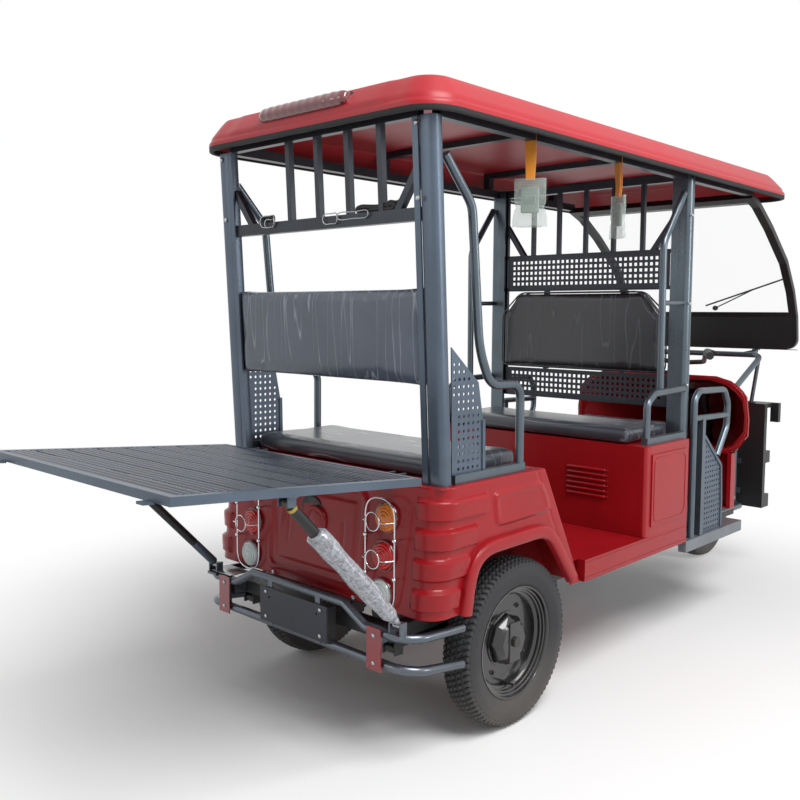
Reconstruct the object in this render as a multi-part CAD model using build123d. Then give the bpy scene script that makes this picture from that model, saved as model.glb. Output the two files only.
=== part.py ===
from build123d import *
import os
from math import atan, cos, degrees, hypot, radians, sin, tan

# Electric passenger three-wheeler with facing benches and a fold-down luggage carrier, carrier open.
# Millimetres. X to the vehicle's right, Y forwards, Z up, the ground at Z = 0.
# It is drawn with the rear axle above Y = 0, and moved at the end so that the origin is the middle of
# its footprint on the ground.

# Wheels and running gear
WHEELBASE = 2170.0
TRACK = 830.0
TYRE_R = 245.0
TYRE_W = 97.0
TYRE_CROWN = 8.0
RIM_R = 160.0
RIM_W = 76.0
RIM_WALL = 4.0
DISC_INSET = 14.0
HUB_R = 38.0
HUB_CAP_R = 74.0
HUB_CAP_OUT = 26.0
STUB_R = 15.0
RUNNING_GAP = 0.05
SEAT_GAP = 0.3
AXLE_R = 32.0
MOTOR_R = 78.0
MOTOR_L = 210.0
SPRING_X = 310.0
SPRING_W = 39.4
SPRING_HALF = 370.0
LEAF_T = 6.0
LEAVES = 4
EYE_R = 12.0

# Chassis rails, floors
RAIL_TOP = 356.0
RAIL_H = 38.0
RAIL_W = 40.0
RAIL_REAR = -400.0
RAIL_FRONT = WHEELBASE - 410
SILL_X = 480.0
FLOOR_TOP = 429.0
SILL_LOW = 360.0
SILL_W = 30.0
SHEET = 4.0
FLOOR_REAR = 104.0
BOX_FRONT = 1015.0
STEP_X = 480.0
STEP_REAR = BOX_FRONT + 1
STEP_FRONT = WHEELBASE - 654
STEP_RAIL_W = 30.0

# Rear body
BODY_X = 470.0
BODY_TOP = 745.0
BODY_LOW = 400.0
BODY_REAR_TOP = -358.0
BODY_REAR_LOW = -392.0
BODY_FRONT_TOP = 103.0
BODY_FRONT_LOW = 305.0
BODY_FRONT_Z = 362.0
BODY_CORNER_R = 60.0
WING_IN = 346.0
RIB_OUT = 13.0
RIB_H = 68.0
RIB_PITCH = 78.5
RIB_TOP = 716.0
RIB_FRONTS = (-167.0, -208.0, -245.0, -285.0)
RIB_REAR_X = 392.0
FLARE_OUT = 20.0
FRAME_LIP = 9.0

# Bench box in front, under the bench that looks back
BOX_REAR = 700.0
BOX_TOP = 745.0
BOX_CORNER_R = 28.0
LOUVRES = 6
LOUVRE_PITCH = 19.0
LOUVRE_LOW = 548.0
LOUVRE_X = (164.0, 322.0)
BATTERY = (380.0, 240.0, 210.0)
BATTERY_GAP = 15.0

# Roof and its posts
POST_X = 455.0
POST_W = 58.0
POST_D = 46.0
FLANGE_W = 14.0
FLANGE_T = 6.0
POST_LEAN = 0.058
POST_REAR = -336.0
BPOST_REAR = BOX_FRONT + 7
ROOF_FRAME_LOW = 1690.0
TUBE = 30.0
ROOF_X = 500.0
ROOF_REAR = -440.0
ROOF_FRONT = WHEELBASE - 285
ROOF_EDGE = 1706.0
ROOF_TOP = 1796.0
ROOF_SLOPE_X = 52.0
ROOF_SLOPE_REAR = 50.0
ROOF_SLOPE_FRONT = 96.0
ROOF_CORNER_R = 105.0
ROOF_SKIN = 5.0
LAMP_BAR = (366.0, 34.0, 46.0)
BOWS = (-250.0, 330.0, BPOST_REAR - 62, WHEELBASE - 730)
BOW_H = 24.0

# Rear grille under the roof, back pads and cushions
GRILLE_LOW = 1432.0
GRILLE_BAR_H = 34.0
GRILLE_BAR = 24.0
SLAT_PITCH = 126.0
SLAT_W = 18.0
PAD_LOW = 997.0
PAD_TOP = 1268.0
PAD_T = 46.0
CUSHION_T = 56.0
CUSHION_X = 412.0
REAR_CUSHION = (-284.0, 62.0)
BENCH_CUSHION = (BOX_REAR - 8, BPOST_REAR - 30)

# Side frames behind
RAIL2_H = 24.0
SIDE_FRAME_FRONT = 28.0
SIDE_X = 440.0
SIDE_T = 3.0
GRAB_R = 12.5
HOLE_R = 4.6
HOLE_PITCH = 20.0

# Hanging handles: centre across, width, thickness and height of the case, then where along and the turn
HANDLE = (426.0, 84.0, 18.0, 142.0)
HANDLE_TOP = 1586.0
HANDLE_SPOTS = ((67.0, 25.0), (556.0, -28.0))

# Partition between bench and driver
PART_Y = BPOST_REAR + 28
MESH_LOW = (860.0, 972.0)
MESH_HIGH = (1300.0, 1438.0)
BENCH_PAD = (978.0, 1292.0)
BENCH_PAD_X = 372.0
BENCH_PAD_CUT = 95.0

# Driver's place
DRIVER_SEAT = (210.0, BOX_FRONT + 70, BOX_FRONT + 390)
DRIVER_SEAT_TOP = 752.0
DRIVER_CUSHION_T = 70.0

# Side view of the step panel's edge beside the driver, (y, z) from the head of its slope down
STEP_EDGE = [(BPOST_REAR + 151, 739.0), (BPOST_REAR + 304, 609.0), (BPOST_REAR + 315, 467.0)]

# Front: fork, cowl, windscreen
RAKE = 18.0
HEAD_LOW = 700.0
HEAD_HIGH = 810.0
HEAD_R = 30.0
RISER_L = 145.0
RISER_R = 17.0
GRIP = (330.0, WHEELBASE - 670, 1030.0)
GRIP_BEND = (250.0, WHEELBASE - 530, 1045.0)
STEM_R = 20.0
LEG_X = 86.0
LEG_R = 20.0
GUARD_GAP = 20.0
GUARD_T = 4.0
GUARD_HALF_W = 60.0
COWL_REAR = WHEELBASE - 470
COWL_NOSE = WHEELBASE - 20
COWL_LIP = 18.0
SHIELD_X = 355.0
SHIELD_D = 36.0
SHIELD_TOP = 602.0
SCREEN_X = 440.0
SCREEN_T = 24.0
GLASS_T = 5.0
SCREEN_LOW = 1045.0
SCREEN_BAND = 172.0
HOOP_X = 345.0
HOOP_Y = WHEELBASE - 160
HOOP_Z = 1020.0
HOOP_LEG = (212.0, WHEELBASE - 102, 300.0)
LAMP_PANEL = (214.0, 342.0, 300.0, 790.0)
LAMP_PANEL_T = 29.0

# Carrier, its hinge and struts
HINGE_Y = -368.0
HINGE_Z = 757.0
HINGE_R = 8.0
CARRIER_L = 755.0
CARRIER_X = 424.0
CARRIER_TILT = 4.5
CARRIER_RAIL = 20.0
CARRIER_SLATS = 8
SLAT_GAP = 9.0
STRUT_X = 400.0
STRUT_FOOT = (-443.0, 396.0)
STRUT_EYE = 440.0
STRUT_DROP = 22.0
CYLINDER_R = 13.0
CYLINDER_L = 400.0
ROD_R = 7.0
ROD_L = 427.0

# Rear bumper, lamps and plates
BUMPER_Y = -448.0
BUMPER_R = 12.5
PLATE = (147.0, 284.0, 388.0)
PLATE_T = 4.0
PLATE_HOLE_X = 105.0
PLATE_HOLE_Z = 360.0
PLATE_HOLE_R = 3.5
WIRE_R = 3.0
WIRE_GUARD = (47.0, 394.0, 709.0)
LAMP_X = 287.0
LAMP_Z = (645.0, 543.0, 442.0)
LAMP_R = 43.0
LAMP_OUT = 22.0

# Side view of the windscreen's outer face, (y, z) from its head down
SCREEN_LINE = [(WHEELBASE + y, z) for y, z in ((-558, 1704.0), (-470, 1672.0), (-330, 1588.0), (-140, 1448.0),
                                               (-42, 1318.0), (12, 1200.0), (36, SCREEN_LOW))]

# Half outlines of the cowl seen from the front, (x, z): at its rear edge and at its nose
COWL_OUTLINE = [(270.0, 934.0), (338.0, 916.0), (379.0, 888.0), (411.0, 852.0), (423.0, 754.0),
                (421.0, 685.0), (375.0, 619.0), (335.0, 600.0)]
NOSE_OUTLINE = [(110.0, 870.0), (135.0, 862.0), (150.0, 848.0), (160.0, 825.0), (165.0, 770.0),
                (165.0, 700.0), (140.0, 640.0), (120.0, 592.0)]

nodes = {}


def block(x0, x1, y0, y1, z0, z1):
    # A box given by its two corners.
    size = (x1 - x0, y1 - y0, z1 - z0)
    middle = ((x0 + x1) / 2, (y0 + y1) / 2, (z0 + z1) / 2)
    return Pos(*middle) * Box(*size)


def rod(a, b, r):
    # A round bar from a to b.
    line = Edge.make_line(a, b)
    plane = Plane(origin=a, z_dir=line % 0)
    return extrude(plane * Circle(r), line.length)


def bar(a, b, w, h, up=(0, 0, 1)):
    # A square bar from a to b: w across, h along the direction up.
    line = Edge.make_line(a, b)
    along = line % 0
    across = Vector(*up).cross(along)
    plane = Plane(origin=a, x_dir=across, z_dir=along)
    return extrude(plane * Rectangle(w, h), line.length)


def bent(points, r, radii):
    # A round tube whose runs are joined by arcs.
    path = FilletPolyline(*points, radius=radii)
    return sweep(Plane(origin=path @ 0, z_dir=path % 0) * Circle(r), path=path)


def side_plate(points, x0, x1):
    # A plate seen from the side: (y, z) points, from x0 to x1.
    face = make_face(Polyline(*[(0, y, z) for y, z in points], close=True))
    solid = extrude(face, x1 - x0, dir=(1, 0, 0))
    return Pos(x0, 0, 0) * solid


def front_plate(points, y0, y1):
    # A plate seen from the front: (x, z) points, from y0 to y1.
    face = make_face(Polyline(*[(x, 0, z) for x, z in points], close=True))
    solid = extrude(face, y1 - y0, dir=(0, 1, 0))
    return Pos(0, y0, 0) * solid


def lathe(points, x=0.0, y=0.0, z=0.0):
    # A turned piece about an axis along X: (x, radius) points.
    face = make_face(Polyline(*[(px, 0, pr) for px, pr in points], close=True))
    return Pos(x, y, z) * revolve(face, axis=Axis.X)


def fuse(*solids):
    # All the solids as one piece.
    whole = solids[0]
    for solid in solids[1:]:
        whole = whole + solid
    return whole


def both(solid):
    # The solid and its mirror image on the other side.
    return Compound(children=[*solid.solids(), *mirror(solid, about=Plane.YZ).solids()])


def axle_point(z):
    # The steering axis at height z, as (y, z).
    return WHEELBASE - (z - TYRE_R) * tan(radians(RAKE)), z


# Wheels
def tyre():
    half = TYRE_W / 2
    bead = RIM_W / 2
    tread_x = half - TYRE_CROWN - 4
    shoulder = TYRE_R - 2.5 * TYRE_CROWN
    inner = RIM_R + 4
    points = [(-bead, inner), (-half, (inner + shoulder) / 2 + 4), (-half + 3, shoulder),
              (-tread_x, TYRE_R - 3), (0, TYRE_R), (tread_x, TYRE_R - 3), (half - 3, shoulder),
              (half, (inner + shoulder) / 2 + 4), (bead, inner)]
    return lathe(points)


def rim(bore, side):
    # Pressed steel rim and disc. side is 1 when the disc's hub cap looks along +X.
    half = RIM_W / 2
    lip = RIM_R + 3.6
    well = RIM_R - 24
    barrel = [(-half, lip), (-half, RIM_R - RIM_WALL), (-half + 10, RIM_R - RIM_WALL - 2),
              (-half + 22, well), (half - 22, well), (half - 10, RIM_R - RIM_WALL - 2),
              (half, RIM_R - RIM_WALL), (half, lip), (half - 4, lip), (half - 12, RIM_R),
              (half - 24, well + RIM_WALL), (-half + 24, well + RIM_WALL), (-half + 12, RIM_R),
              (-half + 4, lip)]
    face = half - DISC_INSET
    disc = [(face - 26, well + 1), (face - 6, well - 24), (face - 2, 96), (face - 16, 78), (face - 12, 30),
            (face - 12, HUB_R - 1), (face - 18, HUB_R - 1), (face - 22, 80), (face - 8, 98),
            (face - 13, well - 26), (face - 31, well + 1)]
    hub = [(-half, bore), (-half, HUB_R), (face - 8, HUB_R), (face - 8, HUB_CAP_R),
           (face + HUB_CAP_OUT - 22, HUB_CAP_R), (face + HUB_CAP_OUT, HUB_CAP_R - 22),
           (face + HUB_CAP_OUT, 0), (face + HUB_CAP_OUT - 4, 0), (face + HUB_CAP_OUT - 4, bore)]
    solid = fuse(lathe(barrel), lathe(disc), lathe(hub))
    return solid if side > 0 else mirror(solid, about=Plane.YZ)


def front_rim(bore):
    # The front rim has a hub right through, on its own spindle.
    half = RIM_W / 2
    solid = rim(bore, 1)
    face = half - DISC_INSET
    drum = lathe([(-half - 4, bore), (-half - 4, 70), (-half + 20, 70), (-half + 20, bore)])
    through = lathe([(-half - 10, 0), (-half - 10, bore), (face + HUB_CAP_OUT + 1, bore),
                     (face + HUB_CAP_OUT + 1, 0)])
    return solid + drum - through


WHEEL_X = TRACK / 2
BORE = STUB_R + RUNNING_GAP
for label, at_x, turn in (("left", -WHEEL_X, -1), ("right", WHEEL_X, 1)):
    nodes["rear_tyre_" + label] = Pos(at_x, 0, TYRE_R) * tyre()
    nodes["rear_rim_" + label] = Pos(at_x, 0, TYRE_R) * rim(BORE, turn)
nodes["front_tyre"] = Pos(0, WHEELBASE, TYRE_R) * tyre()
nodes["front_rim"] = Pos(0, WHEELBASE, TYRE_R) * front_rim(BORE)


# Rear axle with its motor and drive box
def rear_axle():
    inner = WHEEL_X - RIM_W / 2 - 6
    stub_end = WHEEL_X + RIM_W / 2 - DISC_INSET + HUB_CAP_OUT - 8
    tube = rod((-inner, 0, TYRE_R), (inner, 0, TYRE_R), AXLE_R)
    stubs = rod((-stub_end, 0, TYRE_R), (stub_end, 0, TYRE_R), STUB_R)
    drive = rod((-62, 0, TYRE_R), (62, 0, TYRE_R), 84)
    motor = rod((40, 128, TYRE_R + 8), (40 + MOTOR_L, 128, TYRE_R + 8), MOTOR_R)
    gear_case = block(-30, 66, 0, 160, TYRE_R - 58, TYRE_R + 60)
    return fuse(tube, stubs, drive, motor, gear_case)


nodes["rear_axle"] = rear_axle()


# Leaf springs, resting on the axle tube
def leaf_spring():
    low = TYRE_R + AXLE_R + SEAT_GAP
    x0 = SPRING_X - SPRING_W / 2
    x1 = SPRING_X + SPRING_W / 2
    leaves = []
    for index in range(LEAVES):
        half = SPRING_HALF if index == LEAVES - 1 else 110 + 70 * index
        z0 = low + index * LEAF_T
        leaves.append(block(x0, x1, -half, half, z0, z0 + LEAF_T))
    top = low + LEAVES * LEAF_T
    eyes = [rod((x0, y, top - EYE_R), (x1, y, top - EYE_R), EYE_R) for y in (-SPRING_HALF, SPRING_HALF)]
    clamps = [block(x0 - 8, x1 + 8, y - 8, y + 8, low, top + 8) for y in (-46, 46)]
    return fuse(*leaves, *eyes, *clamps)


nodes["leaf_springs"] = both(leaf_spring())
SPRING_TOP = TYRE_R + AXLE_R + SEAT_GAP + LEAVES * LEAF_T


# Chassis: two rails, cross members, spring hangers, the neck and the head tube
def neck_points():
    foot_y = RAIL_FRONT + 14
    low_y, low_z = axle_point(HEAD_LOW + 75)
    return [(0, foot_y, RAIL_TOP - RAIL_H / 2), (0, foot_y, 580), (0, low_y, low_z)]


def chassis_frame():
    low = RAIL_TOP - RAIL_H
    x0 = SPRING_X - RAIL_W / 2
    x1 = SPRING_X + RAIL_W / 2
    rail = block(x0, x1, RAIL_REAR, RAIL_FRONT, low, RAIL_TOP)
    pieces = [rail, mirror(rail, about=Plane.YZ)]
    for y in (RAIL_REAR + 20, -150, 250, 650, 1035, 1400, RAIL_FRONT + 14):
        pieces.append(block(-x1, x1, y - 20, y + 20, low, RAIL_TOP))
    for y in (-SPRING_HALF, SPRING_HALF):
        for x in (-x1 - 4, -x0, x0 - 4, x1):
            ear = block(x, x + 4, y - 16, y + 16, SPRING_TOP - 2 * EYE_R, RAIL_TOP)
            pieces.append(ear)
    pieces.append(bent(neck_points(), 22, 120))
    head_low = (0, *axle_point(HEAD_LOW))
    head_high = (0, *axle_point(HEAD_HIGH))
    pieces.append(rod(head_low, head_high, HEAD_R))
    whole = fuse(*pieces)
    return whole - rod((0, *axle_point(HEAD_LOW - 60)), (0, *axle_point(HEAD_HIGH + 60)), STEM_R + RUNNING_GAP)


nodes["chassis_frame"] = chassis_frame()


# Rear body: the red tub over the rear wheels
def body_outline(inset):
    # Side view of the tub, drawn in by inset, with an open bottom where inset is not zero.
    low = BODY_LOW if inset == 0 else BODY_LOW - 60
    front_low = BODY_FRONT_Z if inset == 0 else BODY_FRONT_Z - 60
    lean = (BODY_REAR_TOP - BODY_REAR_LOW) / (BODY_TOP - BODY_LOW)
    slope = (BODY_FRONT_LOW - BODY_FRONT_TOP) / (BODY_TOP - BODY_FRONT_Z)
    rear = BODY_REAR_TOP + inset
    front = BODY_FRONT_TOP - inset
    return [(rear, BODY_TOP - inset), (front, BODY_TOP - inset),
            (front + slope * (BODY_TOP - front_low), front_low),
            (-120.0, front_low), (-120.0, low), (rear - lean * (BODY_TOP - low), low)]


def body_planform(grow):
    # Plan of the tub's sides and rounded rear corners, as one tall block to cut with.
    front = BODY_FRONT_LOW + 200
    rear = BODY_REAR_LOW - grow
    half = BODY_X + grow
    length = front - rear
    plan = Pos(0, (front + rear) / 2) * RectangleRounded(2 * half, length, BODY_CORNER_R + grow)
    return Pos(0, 0, BODY_LOW - 100) * extrude(plan, BODY_TOP - BODY_LOW + 200)


ARCH_OUTER = [(-284.0, 396.0), (-262.0, 520.0), (-205.0, 573.0), (-185.0, 581.0), (92.0, 584.0),
              (150.0, 552.0), (268.0, 396.0)]
ARCH_INNER = [(-248.0, 340.0), (-248.0, 396.0), (-228.0, 505.0), (-178.0, 541.0), (84.0, 545.0),
              (124.0, 524.0), (230.0, 396.0), (230.0, 340.0)]


def rear_body():
    shell = side_plate(body_outline(0), -BODY_X, BODY_X) & body_planform(0)
    well = block(-WING_IN, WING_IN, FLOOR_REAR, BODY_FRONT_LOW + 10, BODY_LOW - 80, BODY_TOP + 10)
    hollow = side_plate(body_outline(SHEET), -BODY_X + SHEET, BODY_X - SHEET) & body_planform(-SHEET)
    keep = block(-WING_IN - SHEET, WING_IN + SHEET, FLOOR_REAR - SHEET, BODY_FRONT_LOW + 20,
                 BODY_LOW - 90, BODY_TOP + 10)
    shell = shell - well - (hollow - keep)
    flare = side_plate(ARCH_OUTER, WING_IN + 60, BODY_X + FLARE_OUT)
    arch = side_plate(ARCH_INNER, WING_IN + 10, BODY_X + FLARE_OUT + 10)
    flare_right = flare - side_plate(ARCH_INNER, WING_IN, BODY_X + FLARE_OUT + 10)
    flare_right = flare_right - block(0, BODY_X - SHEET, -400, 400, 300, 700)
    shell = shell - arch - mirror(arch, about=Plane.YZ)
    pieces = [shell, flare_right, mirror(flare_right, about=Plane.YZ)]
    # The ribs wrap round the rear corners like laps of boarding, each ending nearer the rear.
    outer = body_planform(RIB_OUT)
    core = body_planform(-SHEET / 2)
    for index, rib_front in enumerate(RIB_FRONTS):
        top = RIB_TOP - index * RIB_PITCH
        band = block(RIB_REAR_X, BODY_X + RIB_OUT + 1, BODY_REAR_LOW - RIB_OUT - 1, rib_front,
                     top - RIB_H, top)
        rib = (band & outer) - core
        rib = chamfer(rib.faces().sort_by(Axis.Z)[0].outer_wire().edges().sort_by(Axis.X)[-1:], 5)
        pieces.extend([rib, mirror(rib, about=Plane.YZ)])
    # Raised side panel above the arch, raised border of the rear panel.
    panel = side_plate([(-146, 712), (98, 722), (150, 610), (-130, 605)], BODY_X - SHEET / 2, BODY_X + 7)
    pieces.extend([panel, mirror(panel, about=Plane.YZ)])
    rear_low = BODY_REAR_LOW
    for x0, x1, z0, z1 in ((-215, 215, 690, 716), (-215, 215, 412, 436), (-215, -190, 412, 716),
                           (190, 215, 412, 716)):
        frame_bar = block(x0, x1, rear_low - FRAME_LIP, BODY_REAR_TOP + 2, z0, z1)
        pieces.append(frame_bar - hollow)
    return fuse(*pieces)


nodes["rear_body"] = rear_body()


# Floor between the benches, with folded sills
def floor_pan():
    x0 = SILL_X - SILL_W
    plate = block(-x0, x0, FLOOR_REAR + SHEET, BOX_REAR, FLOOR_TOP - SHEET, FLOOR_TOP)
    wells = block(WING_IN - 10, x0 + 1, FLOOR_REAR, BODY_FRONT_LOW - 20, FLOOR_TOP - 10, FLOOR_TOP + 10)
    plate = plate - wells - mirror(wells, about=Plane.YZ)
    sill = block(x0, SILL_X, BODY_FRONT_LOW + 14, BOX_FRONT, SILL_LOW, FLOOR_TOP)
    pieces = [plate, sill, mirror(sill, about=Plane.YZ)]
    for y in (BODY_FRONT_LOW + 40, BOX_REAR - 40):
        pieces.append(block(-x0 - 5, x0 + 5, y - 18, y + 18, RAIL_TOP + SEAT_GAP, FLOOR_TOP - 1))
    return fuse(*pieces)


nodes["floor_pan"] = floor_pan()


# Bench box with louvres, hollow, the batteries inside
def seat_box():
    half = SILL_X
    low = FLOOR_TOP + SEAT_GAP
    outer = Pos(0, (BOX_REAR + BOX_FRONT) / 2) * Rectangle(2 * half, BOX_FRONT - BOX_REAR)
    solid = Pos(0, 0, low) * extrude(outer, BOX_TOP - low)
    corners = solid.edges().filter_by(Axis.Z).group_by(Axis.Y)[0]
    solid = fillet(corners, BOX_CORNER_R)
    hollow = block(-half + SHEET, half - SHEET, BOX_REAR + SHEET, BOX_FRONT - SHEET, low - 1,
                   BOX_TOP - SHEET)
    pieces = [solid - hollow]
    for index in range(LOUVRES):
        z = LOUVRE_LOW + index * LOUVRE_PITCH
        pieces.append(block(LOUVRE_X[0], LOUVRE_X[1], BOX_REAR - 5, BOX_REAR + 1, z, z + 9))
    panel = block(half - 1, half + 5, BOX_REAR + 34, BOX_FRONT - 22, low + 34, BOX_TOP - 30)
    pieces.extend([panel, mirror(panel, about=Plane.YZ)])
    return fuse(*pieces)


nodes["seat_box"] = seat_box()
BATTERY_LOW = FLOOR_TOP + SEAT_GAP
BATTERY_FRONT = BOX_FRONT - BATTERY_GAP
nodes["battery_pack"] = block(-BATTERY[0], BATTERY[0], BATTERY_FRONT - BATTERY[1], BATTERY_FRONT, BATTERY_LOW,
                              BATTERY_LOW + BATTERY[2])
BOX_FLOOR = block(-SILL_X + SILL_W + 1, SILL_X - SILL_W - 1, BOX_REAR + SEAT_GAP, BOX_FRONT,
                  FLOOR_TOP - SHEET, FLOOR_TOP)
BOX_BEARER = block(-SPRING_X - 20, SPRING_X + 20, BOX_FRONT - 120, BOX_FRONT - 80, RAIL_TOP + SEAT_GAP,
                   FLOOR_TOP - SHEET)
nodes["box_floor"] = BOX_FLOOR + BOX_BEARER


# Driver's floor with its side rails
def driver_floor():
    x0 = STEP_X - STEP_RAIL_W
    low = RAIL_TOP + SEAT_GAP
    plate = block(-x0, x0, STEP_REAR, STEP_FRONT, low, low + SHEET)
    nose = block(-SHIELD_X, SHIELD_X, STEP_FRONT, COWL_REAR + SHIELD_D, low, low + SHEET)
    rail = block(x0, STEP_X, STEP_REAR, STEP_FRONT, RAIL_TOP - RAIL_H, low + SHEET)
    return fuse(plate, nose, rail, mirror(rail, about=Plane.YZ))


nodes["driver_floor"] = driver_floor()
STEP_TOP = RAIL_TOP + SEAT_GAP + SHEET


# Roof posts: rounded posts with a flat flange on their inner side
def post_section():
    middle = POST_X - POST_W / 2
    body = Pos(middle, POST_D / 2) * RectangleRounded(POST_W, POST_D, 20)
    flange_x = POST_X - POST_W - FLANGE_W / 2 + 8
    return body + Pos(flange_x, FLANGE_T / 2) * Rectangle(FLANGE_W + 16, FLANGE_T)


def lean_y(z):
    # Rear face of the leaning rear posts at height z.
    return POST_REAR - POST_LEAN * (z - BODY_TOP)


POST_TOP = ROOF_FRAME_LOW + TUBE


def rear_post():
    height = POST_TOP - BODY_TOP - SEAT_GAP
    foot = Pos(0, lean_y(BODY_TOP), BODY_TOP + SEAT_GAP) * post_section()
    direction = Vector(0, -POST_LEAN, 1)
    return extrude(foot, height * direction.length, dir=direction.normalized())


def partition_post():
    foot = Pos(0, BPOST_REAR, STEP_TOP + SEAT_GAP) * post_section()
    return extrude(foot, POST_TOP - STEP_TOP - SEAT_GAP)


nodes["rear_posts"] = both(rear_post())
nodes["partition_posts"] = both(partition_post())


def screen_band(thickness, offset_y):
    # The side view of the screen as a closed strip of the given thickness.
    front = [(y + offset_y, z) for y, z in SCREEN_LINE]
    back = []
    for index, (y, z) in enumerate(front):
        a = front[max(index - 1, 0)]
        b = front[min(index + 1, len(front) - 1)]
        length = hypot(b[0] - a[0], b[1] - a[1])
        ny = (b[1] - a[1]) / length
        nz = -(b[0] - a[0]) / length
        back.append((y + ny * thickness, z + nz * thickness))
    return front + back[::-1]


def screen_seat():
    # Where the upper edge of the screen's frame meets the underside of the roof rails.
    outline = screen_band(SCREEN_T, 0)
    (y0, z0), (y1, z1) = outline[-1], outline[0]
    return y0 + (y1 - y0) * (ROOF_FRAME_LOW - z0) / (z1 - z0)


SCREEN_SEAT_Y = screen_seat()


# Roof frame: side rails between the post heads, and bows up to the skin
def roof_frame():
    x0 = POST_X - POST_W + 14
    x1 = x0 + TUBE
    low, high = ROOF_FRAME_LOW, ROOF_FRAME_LOW + TUBE
    under = ROOF_TOP - ROOF_SKIN - SEAT_GAP
    rail = block(x0, x1, lean_y(low) + POST_D + SEAT_GAP, BPOST_REAR - SEAT_GAP, low, high)
    front_rail = block(x0, x1, BPOST_REAR + POST_D + SEAT_GAP, SCREEN_SEAT_Y - SEAT_GAP, low, high)
    pieces = [rail, front_rail]
    pieces.extend([mirror(piece, about=Plane.YZ) for piece in (rail, front_rail)])
    for y in BOWS:
        y0, y1 = y - TUBE / 2, y + TUBE / 2
        bow = block(-x1, x1, y0, y1, high - 1, under)
        pieces.append(bow - block(-x0, x0, y0 - 1, y1 + 1, low, under - BOW_H))
    return fuse(*pieces)


nodes["roof_frame"] = roof_frame()


# Roof skin: a shallow tray upside down, its sides sloping in
def roof_form(inset):
    low = ROOF_EDGE - (1 if inset else 0)
    slope = 1 - inset / (ROOF_TOP - ROOF_EDGE)
    half = ROOF_X - inset
    rear = ROOF_REAR + inset
    front = ROOF_FRONT - inset
    base = Pos(0, (rear + front) / 2) * RectangleRounded(2 * half, front - rear, ROOF_CORNER_R - inset)
    top_rear = rear + ROOF_SLOPE_REAR * slope
    top_front = front - ROOF_SLOPE_FRONT * slope
    top_half = half - ROOF_SLOPE_X * slope
    top = Pos(0, (top_rear + top_front) / 2) * RectangleRounded(2 * top_half, top_front - top_rear,
                                                                ROOF_CORNER_R - inset)
    return loft([Pos(0, 0, low) * base, Pos(0, 0, ROOF_TOP - inset) * top], ruled=True)


def roof_shell():
    return roof_form(0) - roof_form(ROOF_SKIN)


nodes["roof_shell"] = roof_shell()


def roof_lamp_bar():
    # A long lens that stands on the roof's sloping rear face.
    length, proud, tall = LAMP_BAR
    run, rise = ROOF_SLOPE_REAR, ROOF_TOP - ROOF_EDGE
    slope = hypot(run, rise)
    out = (-rise / slope, run / slope)
    corners = []
    for along, off in ((-1, SEAT_GAP), (1, SEAT_GAP), (1, proud), (-1, proud)):
        share = 0.5 + 0.07 + along * tall / 2 / slope
        corners.append((ROOF_REAR + run * share + out[0] * off, ROOF_EDGE + rise * share + out[1] * off))
    solid = side_plate(corners, -length / 2, length / 2)
    return fillet(solid.edges().filter_by(Axis.X).group_by(Axis.Y)[0], 10)


nodes["roof_lamp_bar"] = roof_lamp_bar()


# Grille across the rear, under the roof
def rear_grille():
    half = POST_X - POST_W - SEAT_GAP
    pieces = []
    for z0, height in ((ROOF_FRAME_LOW, TUBE), (GRILLE_LOW, GRILLE_BAR_H)):
        y = lean_y(z0 + height / 2) + 8 + GRILLE_BAR / 2
        pieces.append(block(-half, half, y - GRILLE_BAR / 2, y + GRILLE_BAR / 2, z0, z0 + height))
    low = GRILLE_LOW + GRILLE_BAR_H / 2
    high = ROOF_FRAME_LOW + TUBE / 2
    for index in range(-1, 3):
        x = index * SLAT_PITCH
        foot = (x, lean_y(low) + 20, low)
        head = (x, lean_y(high) + 20, high)
        pieces.append(bar(foot, head, SLAT_W, SLAT_W, up=(0, 1, 0)))
    for side in (-1, 1):
        foot = (side * (half - 95), lean_y(low) + 20, low)
        head = (side * (half - 8), lean_y(low + 120) + 20, low + 120)
        pieces.append(bar(foot, head, 20, 20, up=(0, 1, 0)))
    return fuse(*pieces)


nodes["rear_grille"] = rear_grille()


# Rear side frames: base rail, perforated panel and the grab tube
def perforated(points, x0, x1, pitch, hole):
    # A side plate with rows of round holes that keep clear of its edges.
    face = make_face(Polyline(*points, close=True))
    margin = offset(face, -hole - 7)
    first_y = min(y for y, z in points) + hole + 10
    first_z = min(z for y, z in points) + hole + 10
    rows = int((max(z for y, z in points) - first_z) / pitch) + 1
    columns = int((max(y for y, z in points) - first_y) / pitch) + 1
    spots = [(first_y + column * pitch, first_z + row * pitch) for row in range(rows)
             for column in range(columns)]
    holes = [Pos(y, z) * Circle(hole) for y, z in spots if margin.is_inside(Vector(y, z, 0))]
    return Pos(x0, 0, 0) * extrude(Plane.YZ * (face - holes), x1 - x0)


SIDE_BASE = BODY_TOP + SEAT_GAP
SIDE_TOP = SIDE_BASE + RAIL2_H


SIDE_START = lean_y(BODY_TOP) + POST_D + 6


def rear_side_frame(grow=0.0):
    # Base rail and grab tube, drawn larger by grow all round.
    r = GRAB_R + grow
    rail = block(SIDE_X - 8 - grow, SIDE_X + 12 + grow, SIDE_START - grow, SIDE_FRAME_FRONT + grow,
                 SIDE_BASE, SIDE_TOP + grow)
    front_y = SIDE_FRAME_FRONT - GRAB_R
    head_z = 1600.0
    head_y = lean_y(head_z) + POST_D + GRAB_R + 2
    tube = bent([(SIDE_X, head_y, head_z), (SIDE_X, -214, 1480), (SIDE_X, -176, 1100),
                 (SIDE_X, -126, 1000), (SIDE_X, front_y, 996), (SIDE_X, front_y, SIDE_TOP - 2)],
                r, [70, 260, 60, 42])
    return rail + tube


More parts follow.
